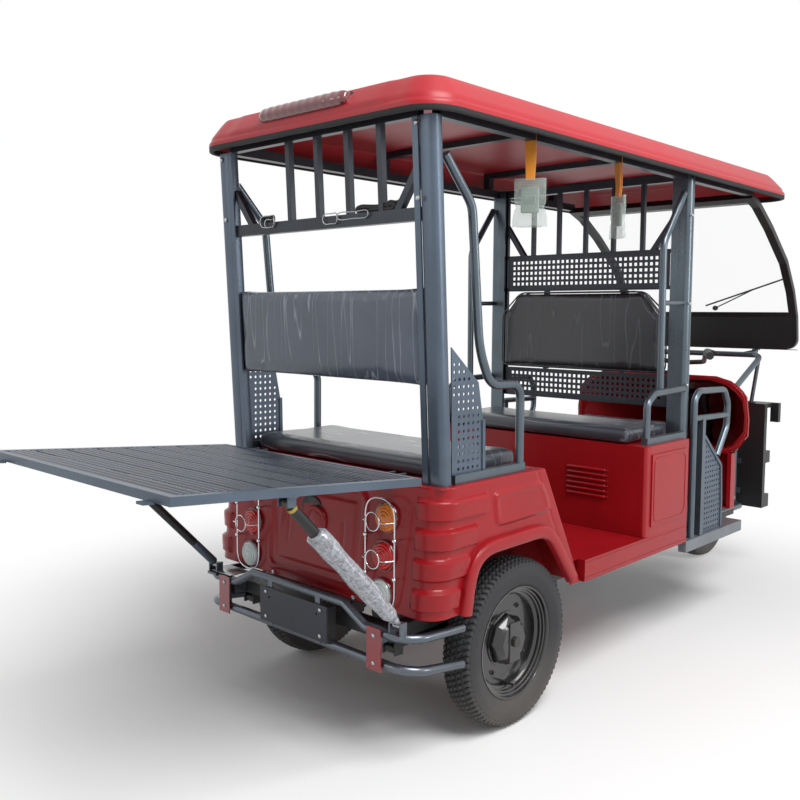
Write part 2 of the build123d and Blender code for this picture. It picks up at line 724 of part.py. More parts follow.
def side_panel():
    # Perforated sheet between the post, the base rail and the grab tube.
    panel = perforated([(SIDE_START, SIDE_TOP - 2), (-152, SIDE_TOP - 2), (-155, 906), (-176, 1010),
                        (SIDE_START - 8, 1108)], SIDE_X - SIDE_T, SIDE_X, HOLE_PITCH, HOLE_R)
    middle = SIDE_X - SIDE_T / 2
    edge = bar((middle, -152, SIDE_TOP - 2), (middle, -155, 906), 12, 10, up=(1, 0, 0))
    whole = panel + edge - rear_side_frame(SEAT_GAP)
    return whole.solids().sort_by(SortBy.VOLUME)[-1]


nodes["rear_side_frames"] = both(rear_side_frame())
nodes["side_panels"] = both(side_panel())


# Soft parts on the rear bench
def rounded_block(x0, x1, y0, y1, z0, z1, r):
    solid = block(x0, x1, y0, y1, z0, z1)
    return fillet(solid.edges(), r)


PAD_X = POST_X - POST_W - SEAT_GAP
PAD_TILT = degrees(atan(POST_LEAN))
rear_pad = rounded_block(-PAD_X, PAD_X, 0, PAD_T, 0, PAD_TOP - PAD_LOW, 12)
nodes["rear_backrest"] = Pos(0, lean_y(PAD_LOW) + FLANGE_T + SEAT_GAP, PAD_LOW) * Rot(PAD_TILT, 0, 0) * rear_pad
nodes["rear_cushion"] = rounded_block(-CUSHION_X, CUSHION_X, REAR_CUSHION[0], REAR_CUSHION[1],
                                      BODY_TOP + SEAT_GAP, BODY_TOP + SEAT_GAP + CUSHION_T, 14)
nodes["bench_cushion"] = rounded_block(-CUSHION_X, CUSHION_X, BENCH_CUSHION[0], BENCH_CUSHION[1],
                                       BOX_TOP + SEAT_GAP, BOX_TOP + SEAT_GAP + CUSHION_T, 14)


# Partition frame behind the driver
def partition_frame():
    half = POST_X - POST_W - SEAT_GAP
    y = PART_Y
    t = TUBE / 2
    pieces = [block(-half, half, y - t, y + t, ROOF_FRAME_LOW, ROOF_FRAME_LOW + TUBE)]
    for z in (MESH_LOW[0] - 8, MESH_LOW[1] + 4, MESH_HIGH[0] - 6, MESH_HIGH[1] - 8):
        pieces.append(block(-half, half, y - 10, y + 10, z, z + 14))
    for index in range(-2, 3):
        x = index * SLAT_PITCH
        pieces.append(block(x - 8, x + 8, y - 8, y + 8, MESH_HIGH[1], ROOF_FRAME_LOW + 1))
    for side in (-1, 1):
        x = side * (half - 8)
        pieces.append(block(x - 8, x + 8, y - 8, y + 8, MESH_LOW[0] - 8, ROOF_FRAME_LOW + 1))
        pieces.append(bar((side * (half - 100), y, MESH_HIGH[1]), (side * (half - 8), y, MESH_HIGH[1] + 130),
                          20, 20, up=(0, 1, 0)))
        x = side * 180
        pieces.append(block(x - 10, x + 10, y - 8, y + 8, MESH_LOW[1], MESH_HIGH[0]))
    return fuse(*pieces)


nodes["partition_frame"] = partition_frame()


# Perforated strips in the partition
def mesh_strip(low, high):
    half = POST_X - POST_W - FLANGE_W - 10
    y0 = PART_Y - 10 - SEAT_GAP - 2
    columns = int(2 * half / 22) - 1
    rows = int((high - low) / 22) - 1
    face = Plane.XZ * (Rectangle(2 * half, high - low)
                       - [loc * Rectangle(12, 12) for loc in GridLocations(22, 22, columns, rows)])
    return Pos(0, y0 + 2, (low + high) / 2) * extrude(face, 2)


nodes["partition_meshes"] = Compound(children=[*mesh_strip(*MESH_LOW).solids(), *mesh_strip(*MESH_HIGH).solids()])


# Backrest of the bench, its top corners cut
def bench_backrest():
    low, high = BENCH_PAD
    x = BENCH_PAD_X
    cut = BENCH_PAD_CUT
    outline = [(-x, low), (x, low), (x, high - cut), (x - cut * 0.8, high), (-x + cut * 0.8, high),
               (-x, high - cut)]
    y1 = PART_Y - 10 - SEAT_GAP
    solid = front_plate(outline, y1 - PAD_T, y1)
    return fillet(solid.edges(), 10)


nodes["bench_backrest"] = bench_backrest()


# Grab tubes and arm rails at the ends of the bench
def bench_arm_rail():
    x = SILL_X - 30
    y1 = BPOST_REAR - SEAT_GAP
    base = block(x - 12, x + 12, 735, y1, BOX_TOP + SEAT_GAP, BOX_TOP + SEAT_GAP + 24)
    top = BOX_TOP + SEAT_GAP + 20
    arm = bent([(x, 748, top), (x, 748, 890), (x, 800, 922), (x, y1 - 1, 928)], GRAB_R, [30, 30])
    grab = bent([(x - 14, y1 - GRAB_R, 1640), (x - 14, 862, 1452), (x - 14, 866, 928)], GRAB_R, 70)
    link = rod((x - 14, 866, 1240), (x - 14, y1 - 1, 1243), 9)
    return fuse(base, arm, grab, link)


nodes["bench_arm_rails"] = both(bench_arm_rail())


# Step frames beside the driver
STEP_FRAME_X = STEP_X - STEP_RAIL_W / 2
STEP_FRAME_LOW = STEP_TOP + SEAT_GAP


def step_frame(grow=0.0):
    # Hoop, cross tube and upright, drawn larger by grow all round.
    x = STEP_FRAME_X
    low = STEP_FRAME_LOW
    r = GRAB_R + grow
    y0 = BPOST_REAR + POST_D + GRAB_R + 2
    y1 = BPOST_REAR + 354
    hoop = bent([(x, y0, low), (x, y0, 885), (x, BPOST_REAR + 98, 914), (x, y1 - 36, 908), (x, y1, 850),
                 (x, y1 - 4, 760), (x, BPOST_REAR + 268, 652)], r, [40, 40, 38, 40, 60])
    cross = rod((x, y0, 812), (x, y1 - 2, 806), r - 1)
    upright = block(x - 12 - grow, x + 12 + grow, BPOST_REAR + 114 - grow, BPOST_REAR + 138 + grow, low, 812)
    return fuse(hoop, cross, upright)


def step_panel():
    # Perforated sheet in front of the upright, with a flat bar along its front edge.
    x = STEP_FRAME_X
    low = STEP_FRAME_LOW
    rear = BPOST_REAR + 118
    points = [(rear, low), (STEP_EDGE[2][0], low)] + STEP_EDGE[::-1] + [(rear, STEP_EDGE[0][1])]
    panel = perforated(points, x - 2, x + 2, HOLE_PITCH, HOLE_R)
    foot = (x, STEP_EDGE[2][0], low + 4)
    corners = [(x, y, z) for y, z in STEP_EDGE] + [foot]
    bars = [bar(a, b, 12, 12, up=(1, 0, 0)) for a, b in zip(corners, corners[1:])]
    whole = fuse(panel, *bars) - step_frame(SEAT_GAP)
    return whole.solids().sort_by(SortBy.VOLUME)[-1]


nodes["step_frames"] = both(step_frame())
nodes["step_panels"] = both(step_panel())


# Driver's seat
def driver_seat_base():
    x, y0, y1 = DRIVER_SEAT
    low = STEP_TOP + SEAT_GAP
    high = DRIVER_SEAT_TOP - DRIVER_CUSHION_T
    solid = block(-x, x, y0, y1, low, high)
    return solid - block(-x + SHEET, x - SHEET, y0 + SHEET, y1 - SHEET, low - 1, high - SHEET)


nodes["driver_seat_base"] = driver_seat_base()
nodes["driver_seat"] = rounded_block(-DRIVER_SEAT[0] - 10, DRIVER_SEAT[0] + 10, DRIVER_SEAT[1] - 5,
                                     DRIVER_SEAT[2] + 15, DRIVER_SEAT_TOP - DRIVER_CUSHION_T + SEAT_GAP,
                                     DRIVER_SEAT_TOP, 16)


# Front cowl: leg shield and the hollow nose over the wheel
def cowl_face(outline, y, inset):
    # A face across the cowl at y, from a half outline drawn in by inset.
    middle = (outline[0][1] + outline[-1][1]) / 2
    half = [(x - inset, z - inset if z > middle else z + inset) for x, z in outline]
    points = half + [(-x, z) for x, z in half[::-1]]
    return make_face(Polyline(*[(x, y, z) for x, z in points], close=True))


def nose_form(inset):
    rear = cowl_face(COWL_OUTLINE, COWL_REAR - (1 if inset else 0), inset)
    nose = cowl_face(NOSE_OUTLINE, COWL_NOSE - inset, inset)
    return loft([rear, nose], ruled=True)


def front_cowl():
    shell = nose_form(0) - nose_form(SHEET)
    # Room under the nose for the fork, and a hole on top for the stem.
    shell = shell - block(-150, 150, COWL_REAR + SHIELD_D + 4, COWL_NOSE - 3 * SHEET, 500, 640)
    shell = shell - rod((0, *axle_point(850)), (0, *axle_point(970)), RISER_R + 8)
    low = STEP_TOP + SEAT_GAP
    shield = block(-SHIELD_X, SHIELD_X, COWL_REAR, COWL_REAR + SHIELD_D, low, SHIELD_TOP)
    shield = shield - block(-SHIELD_X + SHEET, SHIELD_X - SHEET, COWL_REAR - 1, COWL_REAR + SHIELD_D - SHEET,
                            low + SHEET, SHIELD_TOP + 40)
    # The rolled rear edge of the shield and the nose.
    ring = cowl_face(COWL_OUTLINE, COWL_REAR + SHEET, 0) - cowl_face(COWL_OUTLINE, COWL_REAR + SHEET, COWL_LIP)
    lip = extrude(ring, 3 * SHEET, dir=(0, -1, 0))
    edge = block(SHIELD_X - COWL_LIP, SHIELD_X, COWL_REAR - 2 * SHEET, COWL_REAR + SHEET, low, SHIELD_TOP)
    return fuse(shell, shield, lip, edge, mirror(edge, about=Plane.YZ))


nodes["front_cowl"] = front_cowl()
headlamp = rod((0, COWL_NOSE + SEAT_GAP, 735), (0, COWL_NOSE + 26, 735), 78)
side_lamp = rod((118, COWL_NOSE + SEAT_GAP, 690), (118, COWL_NOSE + 16, 690), 30)
nodes["headlamps"] = Compound(children=[headlamp.solid(), side_lamp.solid(),
                                        mirror(side_lamp, about=Plane.YZ).solid()])


# Windscreen: a black moulded frame round a sheet bent one way
SCREEN_REAR = SCREEN_LINE[0][0] - 100
SCREEN_FRONT = SCREEN_LINE[-1][0] + 100
SCREEN_HEAD = 1668.0
SCREEN_EDGE = 34.0


def windscreen_frame():
    strip = side_plate(screen_band(SCREEN_T, 0), -SCREEN_X, SCREEN_X)
    inner_x = SCREEN_X - SCREEN_EDGE
    window = block(-inner_x, inner_x, SCREEN_REAR, SCREEN_FRONT, SCREEN_LOW + SCREEN_BAND, SCREEN_HEAD)
    corner = 50
    y0 = SCREEN_FRONT - 200
    high = SCREEN_LOW + corner
    cuts = []
    for side in (-1, 1):
        square = block(side * SCREEN_X - corner, side * SCREEN_X + corner, y0, SCREEN_FRONT, SCREEN_LOW - 1, high)
        keep = rod((side * (SCREEN_X - corner), y0, high), (side * (SCREEN_X - corner), SCREEN_FRONT, high), corner)
        inside = block(-SCREEN_X + corner, SCREEN_X - corner, y0, SCREEN_FRONT, SCREEN_LOW - 1, high)
        cuts.append(square - keep - inside)
    return strip - window - cuts


nodes["windscreen_frame"] = windscreen_frame()


def windscreen_glass():
    inner_x = SCREEN_X - SCREEN_EDGE - SEAT_GAP
    strip = side_plate(screen_band(GLASS_T, -9), -inner_x, inner_x)
    return strip & block(-inner_x, inner_x, SCREEN_REAR, SCREEN_FRONT, SCREEN_LOW + SCREEN_BAND + SEAT_GAP,
                         SCREEN_HEAD - SEAT_GAP)


nodes["windscreen_glass"] = windscreen_glass()


# Front hoops that carry the screen and the lamp panels
LAMP_PANEL_REAR = HOOP_LEG[1] + GRAB_R + SEAT_GAP


def legs_of(pieces):
    # The three pieces of each leg as one solid a side.
    half = len(pieces) // 2
    return fuse(*pieces[:half]), fuse(*pieces[half:])


def front_hoops():
    x = HOOP_X
    cowl_end = (COWL_REAR + 35, 888)
    route = [(x, *cowl_end), (x, HOOP_Y, HOOP_Z), (-x, HOOP_Y, HOOP_Z), (-x, *cowl_end)]
    top = [bent(route, GRAB_R, [45, 45])]
    # The screen's lower edge stands on a tab at the end of each arm.
    foot_y, foot_z = screen_band(SCREEN_T, 0)[len(SCREEN_LINE)]
    tab_top = foot_z - SEAT_GAP
    leg_x, leg_y, leg_low = HOOP_LEG
    x0, x1, low, high = LAMP_PANEL
    middle = (x0 + x1) / 2 - 6
    lamp_y = LAMP_PANEL_REAR + 10
    frame_y = RAIL_FRONT + 34 + SEAT_GAP
    frame_z = RAIL_TOP - RAIL_H / 2
    for side in (-1, 1):
        arm_x = side * 250
        top.append(rod((arm_x, HOOP_Y, HOOP_Z), (arm_x, foot_y, tab_top - 11), 10))
        top.append(block(arm_x - 14, arm_x + 14, foot_y - 16, foot_y + 14, tab_top - 5, tab_top))
        # A stay from the top tube to the head of each lamp panel.
        top.append(rod((side * (x - 13), HOOP_Y + 2, HOOP_Z - 10), (side * middle, lamp_y, high + 4), 9))
        top.append(block(side * middle - 16, side * middle + 16, lamp_y - 8, lamp_y + 12, high + SEAT_GAP,
                         high + 8))
    legs = []
    for side in (-1, 1):
        legs.append(bent([(side * leg_x, leg_y, SHIELD_TOP + 80), (side * leg_x, leg_y, leg_low),
                          (side * (SPRING_X + 6), frame_y + 96, frame_z),
                          (side * (SPRING_X + 6), frame_y, frame_z)], GRAB_R, [40, 40]))
        inner, outer = sorted((side * leg_x, side * (x0 + 24)))
        for z in (low + 60, low + 200):
            legs.append(block(inner, outer, leg_y, LAMP_PANEL_REAR - SEAT_GAP, z, z + 24))
    solids = []
    for part in (fuse(*top), *legs_of(legs)):
        solids.extend((part - nose_form(-SEAT_GAP)).solids())
    return Compound(children=[solid for solid in solids if solid.volume > 2000])


nodes["front_hoops"] = front_hoops()


# Black lamp panels at the front corners, with brows that reach forwards
def lamp_panel():
    x0, x1, low, high = LAMP_PANEL
    front = LAMP_PANEL_REAR + LAMP_PANEL_T
    pieces = [block(x0, x1, LAMP_PANEL_REAR, front, low, high)]
    for z, reach, height in ((high - 20, 90, 20), (high - 280, 50, 55), (low, 50, 60)):
        pieces.append(block(x0, x1, front - 10, front + reach, z, z + height))
    # The top brow turns down round the outer corner.
    pieces.append(block(x1 - 10, x1 + 28, front + 62, front + 90, high - 90, high))
    return fuse(*pieces)


nodes["lamp_panels"] = both(lamp_panel())


# Steering: stem, yokes, legs and spindle
def on_axis(distance, side, forward=0.0):
    # A point beside the steering axis: distance up it from the spindle, side along X.
    angle = radians(RAKE)
    y = WHEELBASE - distance * sin(angle) + forward * cos(angle)
    z = TYRE_R + distance * cos(angle) + forward * sin(angle)
    return (side, y, z)


def up_axis(z):
    # Distance up the axis at which it is at height z.
    return (z - TYRE_R) / cos(radians(RAKE))


def fork():
    low = up_axis(HEAD_LOW) - 6
    high = up_axis(HEAD_HIGH) + 6
    pieces = []
    for side in (-1, 1):
        pieces.append(rod(on_axis(-28, side * LEG_X), on_axis(high + 30, side * LEG_X), LEG_R))
    pieces.append(rod(on_axis(low - 30, 0), on_axis(high + 20, 0), STEM_R))
    for start, end in ((low - 30, low), (high, high + 22)):
        plane = Plane(origin=on_axis(start, 0), x_dir=(1, 0, 0),
                      z_dir=(0, -sin(radians(RAKE)), cos(radians(RAKE))))
        pieces.append(extrude(plane * RectangleRounded(2 * LEG_X + 56, 62, 24), end - start))
    spindle_x = LEG_X + LEG_R
    pieces.append(rod((-spindle_x, WHEELBASE, TYRE_R), (spindle_x, WHEELBASE, TYRE_R), STUB_R))
    return fuse(*pieces)


nodes["fork"] = fork()


# Handlebar on the upper yoke
def handlebar():
    base = up_axis(HEAD_HIGH) + 28 + SEAT_GAP
    clamp = base + RISER_L
    cx, cy, cz = on_axis(clamp, 0)
    pieces = [rod(on_axis(base, 0), on_axis(clamp + 20, 0), RISER_R)]
    gx, gy, gz = GRIP
    bx, by, bz = GRIP_BEND
    pieces.append(bent([(-gx, gy, gz), (-bx, by, bz), (-110, cy - 10, cz + 8), (0, cy, cz),
                        (110, cy - 10, cz + 8), (bx, by, bz), (gx, gy, gz)], 11, [60, 40, 200, 40, 60]))
    for side in (-1, 1):
        pieces.append(rod((side * gx, gy, gz), (side * (gx - 62), gy + 108.5, gz + 11.6), 16))
        pieces.append(rod((side * (gx - 62), gy + 112, gz + 22), (side * (gx + 20), gy + 30, gz + 14), 5))
    return fuse(*pieces)


nodes["handlebar"] = handlebar()


# Front mudguard on the fork
def front_mudguard():
    r0 = TYRE_R + GUARD_GAP
    ring = Plane.YZ * (Circle(r0 + GUARD_T) - Circle(r0))
    band = extrude(ring, GUARD_HALF_W, both=True)
    sector = side_plate([(0, 0), (520, 60), (520, 520), (-520, 520), (-520, 90)], -GUARD_HALF_W - 5,
                        GUARD_HALF_W + 5)
    guard = band & sector
    for side in (-1, 1):
        rim_edge = extrude(Plane.YZ * (Circle(r0 + GUARD_T) - Circle(r0 - 14)), GUARD_T / 2, both=True)
        guard = guard + (Pos(side * (GUARD_HALF_W - GUARD_T / 2), 0, 0) * rim_edge & sector)
    guard = Pos(0, WHEELBASE, TYRE_R) * guard
    lugs = []
    for side in (-1, 1):
        inner = side * (GUARD_HALF_W - 2)
        outer = side * (LEG_X - LEG_R - SEAT_GAP)
        a = on_axis(TYRE_R - 2, min(inner, outer))
        b = on_axis(TYRE_R - 2, max(inner, outer))
        lugs.append(rod(a, b, 12))
    return fuse(guard, *lugs)


nodes["front_mudguard"] = front_mudguard()


# Rear bumper: two round tubes across, wrapped round to the sides
def rear_bumper():
    y = BUMPER_Y
    r = BUMPER_R
    upper = bent([(-450, -245, 350), (-440, y + 4, 360), (-285, y, 364), (-200, y, 410), (200, y, 410),
                  (285, y, 364), (440, y + 4, 360), (450, -245, 350)], r, [70, 40, 30, 30, 40, 70])
    lower = bent([(-450, -245, 250), (-440, y + 4, 278), (440, y + 4, 278), (450, -245, 250)], r, 70)
    pieces = [upper, lower]
    for side in (-1, 1):
        x = side * 330
        pieces.append(block(x - 10, x + 10, y - 6, y + 6, 278, 364))
        pieces.append(block(side * SPRING_X - 15, side * SPRING_X + 15, y, RAIL_REAR - SEAT_GAP, 322, 352))
        foot_x = side * STRUT_X
        pieces.append(block(foot_x - 22, foot_x + 22, y - 14, y + 14, 366, 374))
        pieces.append(block(foot_x - 22, foot_x - 17, y - 9, y + 14, 370, STRUT_FOOT[1] + 10))
        pieces.append(block(foot_x + 17, foot_x + 22, y - 9, y + 14, 370, STRUT_FOOT[1] + 10))
        strap_x = side * PLATE_HOLE_X
        pieces.append(block(strap_x - 10, strap_x + 10, y - r, y - r + 4, 278, 410))
    holes = [rod((side * PLATE_HOLE_X, y - r - 1, PLATE_HOLE_Z), (side * PLATE_HOLE_X, y, PLATE_HOLE_Z),
                 PLATE_HOLE_R) for side in (-1, 1)]
    return fuse(*pieces) - holes


nodes["rear_bumper"] = rear_bumper()
plate_y = BUMPER_Y - BUMPER_R - SEAT_GAP
bumper_plate = block(330 - 26, 330 + 26, plate_y - 3, plate_y, 262, 376)
nodes["bumper_plates"] = both(bumper_plate)


# Blank plate on its two straps
def rear_plate():
    x, low, high = PLATE
    solid = block(-x, x, plate_y - PLATE_T, plate_y, low, high)
    holes = [rod((side * PLATE_HOLE_X, plate_y - PLATE_T - 1, PLATE_HOLE_Z),
                 (side * PLATE_HOLE_X, plate_y + 1, PLATE_HOLE_Z), PLATE_HOLE_R) for side in (-1, 1)]
    return solid - holes


nodes["rear_plate"] = rear_plate()


# Rear lamps: three round lenses a side, and a wire guard round them
def body_rear_y(z):
    # Rear face of the tub at height z.
    share = (BODY_TOP - z) / (BODY_TOP - BODY_LOW)
    return BODY_REAR_TOP + share * (BODY_REAR_LOW - BODY_REAR_TOP)


def tail_lamps():
    lenses = []
    for z in LAMP_Z:
        back = body_rear_y(z + LAMP_R) - SEAT_GAP - 1
        lens = rod((LAMP_X, back - LAMP_OUT, z), (LAMP_X, body_rear_y(z) + 2, z), LAMP_R)
        lens = fillet(lens.edges().sort_by(Axis.Y)[0], 12)
        lenses.append(lens - side_plate([(body_rear_y(BODY_TOP) - SEAT_GAP, BODY_TOP),
                                         (body_rear_y(BODY_LOW) - SEAT_GAP, BODY_LOW), (0, BODY_LOW),
                                         (0, BODY_TOP)], 0, 500))
    return lenses


right_lenses = Compound(children=[lens.solid() for lens in tail_lamps()])
nodes["tail_lamps"] = both(right_lenses)


def lamp_guard():
    half, low, high = WIRE_GUARD
    w = 2 * WIRE_R
    y = body_rear_y(LAMP_Z[2]) - LAMP_OUT - 26
    ring = RectangleRounded(2 * half + w, high - low, 44) \
        - RectangleRounded(2 * half - w, high - low - 2 * w, 44 - w)
    pieces = [Pos(LAMP_X, y + WIRE_R, (low + high) / 2) * extrude(Plane.XZ * ring, w)]
    for z in (LAMP_Z[0], LAMP_Z[1]):
        pieces.append(rod((LAMP_X - half, y, z), (LAMP_X + half, y, z), WIRE_R))
    for x in (LAMP_X - half, LAMP_X + half):
        for z in (high - 50, low + 50):
            pieces.append(rod((x, y, z), (x, body_rear_y(z) - SEAT_GAP - 0.6, z), WIRE_R))
    return fuse(*pieces)


nodes["lamp_guards"] = both(lamp_guard())


# Hanging grab handles under the roof: a strap and a clear box
def hanging_handles():
    pieces = []
    x, wide, thick, tall = HANDLE
    for y, turn in HANDLE_SPOTS:
        strap = block(x - 13, x + 13, y - 2, y + 2, HANDLE_TOP - 6, ROOF_FRAME_LOW - SEAT_GAP)
        case = block(-wide / 2, wide / 2, -thick / 2, thick / 2, HANDLE_TOP - tall, HANDLE_TOP)
        case = Pos(x, y, 0) * Rot(0, 0, turn) * case
        pieces.append((strap + case).solid())
    return Compound(children=pieces)


nodes["hanging_handles"] = hanging_handles()


# Carrier. It is drawn level with its hinge at the origin and reaching along -Y, then tilted and placed.
def placed(solid):
    return Pos(0, HINGE_Y, HINGE_Z) * Rot(-CARRIER_TILT, 0, 0) * solid


def carrier_frame():
    r = CARRIER_RAIL
    x1 = CARRIER_X
    x0 = x1 - r
    top = r / 2 + 4
    low = top - r
    front = -(HINGE_R + 10)
    pieces = []
    for side in (-1, 1):
        pieces.append(block(min(side * x0, side * x1), max(side * x0, side * x1), -CARRIER_L, front, low, top))
        x = side * 300
        ear = block(x - 15, x + 15, front - 2, 0, -HINGE_R, HINGE_R)
        pieces.append(ear + rod((x - 15, 0, 0), (x + 15, 0, 0), HINGE_R))
        ear_x = side * STRUT_X
        for step in (-1, 1):
            x = ear_x + step * 16.5
            pieces.append(block(x - 2, x + 2, -STRUT_EYE - 12, -STRUT_EYE + 12, -STRUT_DROP - 10, low + 1))
        inner, outer = sorted((side * (STRUT_X - 18.5), side * x1))
        pieces.append(block(inner, outer, -STRUT_EYE - 12, -STRUT_EYE + 12, low - 3, low))
        hook = block(side * (x0 - 66), side * (x0 - 40), -CARRIER_L - 24, -CARRIER_L + 2, low - 4, low + 2) \
            if side > 0 else block(-x0 + 40, -x0 + 66, -CARRIER_L - 24, -CARRIER_L + 2, low - 4, low + 2)
        pieces.append(hook)
    pieces.append(block(-x1, x1, -CARRIER_L, -CARRIER_L + r, low, top))
    pieces.append(block(-x1, x1, front - r, front, low, top))
    for share in (0.34, 0.67):
        y = -CARRIER_L * share
        pieces.append(block(-x0, x0, y - r / 2, y + r / 2, low, top - 4))
    whole = fuse(*pieces)
    pin = rod((-400, 0, 0), (400, 0, 0), 4 + RUNNING_GAP)
    return whole - pin


nodes["carrier_frame"] = placed(carrier_frame())


def carrier_deck():
    r = CARRIER_RAIL
    x0 = CARRIER_X - r - SEAT_GAP
    top = r / 2 + 4
    rear = -CARRIER_L + r + SEAT_GAP + 1
    front = -(HINGE_R + 10) - r - SEAT_GAP - 1
    pitch = (front - rear + SLAT_GAP) / CARRIER_SLATS
    slats = []
    for index in range(CARRIER_SLATS):
        y0 = rear + index * pitch
        slats.append(block(-x0, x0, y0, y0 + pitch - SLAT_GAP, top - 4 + SEAT_GAP, top + 1).solid())
    return Compound(children=slats)


nodes["carrier_deck"] = placed(carrier_deck())


# Hinge stands on the tub that hold the carrier's pins
def hinge_stands():
    stands = []
    for side in (-1, 1):
        for step in (-1, 1):
            x = side * 300 + step * 20
            stand = block(x - 3, x + 3, HINGE_Y - 11, HINGE_Y + 34, BODY_TOP + SEAT_GAP, HINGE_Z + 10)
            stands.append(stand)
        stands.append(rod((side * 300 - 23, HINGE_Y, HINGE_Z), (side * 300 + 23, HINGE_Y, HINGE_Z), 4))
        stands.append(block(side * 300 - 23, side * 300 + 23, HINGE_Y + 20, HINGE_Y + 34, BODY_TOP + SEAT_GAP,
                            HINGE_Z - 6))
    return fuse(*stands)


nodes["hinge_stands"] = hinge_stands()


# Struts: cylinder hung under the carrier's rail, rod down to the bumper
def strut_top():
    # Centre of the strut's upper pin, as (y, z).
    a = radians(CARRIER_TILT)
    y = -STRUT_EYE
    z = -STRUT_DROP
    return HINGE_Y + y * cos(a) + z * sin(a), HINGE_Z - y * sin(a) + z * cos(a)


TOP_Y, TOP_Z = strut_top()
FOOT_Y, FOOT_Z = STRUT_FOOT
STRUT_L = hypot(TOP_Y - FOOT_Y, TOP_Z - FOOT_Z)


def along(distance):
    # A point on the strut, distance down from its upper pin, as (y, z).
    share = distance / STRUT_L
    return TOP_Y + share * (FOOT_Y - TOP_Y), TOP_Z + share * (FOOT_Z - TOP_Z)


def strut_cylinder(x):
    body = rod((x, *along(16)), (x, *along(CYLINDER_L)), CYLINDER_R)
    eye = rod((x - 12, TOP_Y, TOP_Z), (x + 12, TOP_Y, TOP_Z), 9)
    neck = rod((x, TOP_Y, TOP_Z), (x, *along(20)), 7)
    pin = rod((x - 14, TOP_Y, TOP_Z), (x + 14, TOP_Y, TOP_Z), 4)
    bore = rod((x, *along(STRUT_L - ROD_L - 6)), (x, *along(CYLINDER_L + 1)), ROD_R + RUNNING_GAP)
    return fuse(body, eye, neck, pin) - bore


def strut_rod(x):
    body = rod((x, *along(STRUT_L - ROD_L)), (x, *along(STRUT_L)), ROD_R)
    eye = rod((x - 12, FOOT_Y, FOOT_Z), (x + 12, FOOT_Y, FOOT_Z), 10)
    return fuse(body, eye)


for label, at_x in (("left", -STRUT_X), ("right", STRUT_X)):
    nodes["strut_cylinder_" + label] = strut_cylinder(at_x)
    nodes["strut_rod_" + label] = strut_rod(at_x)

# The origin goes to the middle of the footprint
boxes = [node.bounding_box() for node in nodes.values()]
REAR_END = min(box.min.Y for box in boxes)
FRONT_END = max(box.max.Y for box in boxes)
SHIFT_Y = -(REAR_END + FRONT_END) / 2

os.makedirs("parts", exist_ok=True)
for name, node in nodes.items():
    export_step(Pos(0, SHIFT_Y, 0) * node, "parts/" + name + ".step")
print("nodes", len(nodes), "shift along Y", round(SHIFT_Y, 3), "strut length", round(STRUT_L, 2))
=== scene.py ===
# %% [markdown]
# # An electric rickshaw, dressed on its frame
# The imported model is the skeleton: it says where every tube, sheet and wheel is. Here each piece gets
# its finish, and the pieces whose look is in their surface are made again as surfaces of their own.
# %% Load the frame
import bpy
import bmesh
import math
import numpy as np
from mathutils import Matrix, Vector


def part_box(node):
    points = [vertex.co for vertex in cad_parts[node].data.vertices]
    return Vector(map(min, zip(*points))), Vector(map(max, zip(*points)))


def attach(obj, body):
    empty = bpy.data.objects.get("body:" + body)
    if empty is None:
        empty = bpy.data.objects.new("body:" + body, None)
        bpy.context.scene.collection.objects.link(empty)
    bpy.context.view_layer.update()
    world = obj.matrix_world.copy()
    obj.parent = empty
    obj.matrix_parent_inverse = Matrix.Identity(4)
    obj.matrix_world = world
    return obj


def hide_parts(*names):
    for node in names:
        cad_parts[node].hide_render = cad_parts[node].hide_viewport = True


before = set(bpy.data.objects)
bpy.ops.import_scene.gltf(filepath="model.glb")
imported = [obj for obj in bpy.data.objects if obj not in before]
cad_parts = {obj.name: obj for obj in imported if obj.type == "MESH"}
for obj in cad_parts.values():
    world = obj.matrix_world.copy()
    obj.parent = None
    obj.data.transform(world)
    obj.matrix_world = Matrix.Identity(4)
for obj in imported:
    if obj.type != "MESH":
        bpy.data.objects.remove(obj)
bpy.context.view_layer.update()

tyre_low, tyre_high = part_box("rear_tyre_right")
AXLE_Y = (tyre_low[1] + tyre_high[1]) / 2

# %% [markdown]
# ## Camera
# The picture was taken from behind on the right, a little above seat height. A lens, a place and three
# angles bring the model into the same frame. The yaw is counted from straight ahead, to the left.
# %% Camera
IMAGE_W = 800
FOCAL_PX = 891.1
CENTRE_PX = (409.8, 379.9)
CAMERA_PLACE = (1.9437, AXLE_Y - 2.0645, 1.1917)
YAW, PITCH, ROLL = math.radians(42.97), math.radians(4.19), math.radians(0.47)

camera_data = bpy.data.cameras.new("camera")
camera_data.sensor_width = 36.0
camera_data.lens = 36.0 * FOCAL_PX / IMAGE_W
camera_data.shift_x = (IMAGE_W / 2 - CENTRE_PX[0]) / IMAGE_W
camera_data.shift_y = (CENTRE_PX[1] - IMAGE_W / 2) / IMAGE_W
camera = bpy.data.objects.new("camera", camera_data)
bpy.context.collection.objects.link(camera)
bpy.context.scene.camera = camera
ahead = Vector((-math.sin(YAW) * math.cos(PITCH), math.cos(YAW) * math.cos(PITCH), -math.sin(PITCH)))
right = ahead.cross(Vector((0, 0, 1))).normalized()
up = right.cross(ahead)
right_rolled = right * math.cos(ROLL) + up * math.sin(ROLL)
up_rolled = up * math.cos(ROLL) - right * math.sin(ROLL)
camera.rotation_mode = "QUATERNION"
basis = [list(row) for row in zip(right_rolled, up_rolled, -ahead)]
camera.rotation_quaternion = Matrix(basis).to_quaternion()
camera.location = CAMERA_PLACE
print("lens", round(camera_data.lens, 2), "mm")

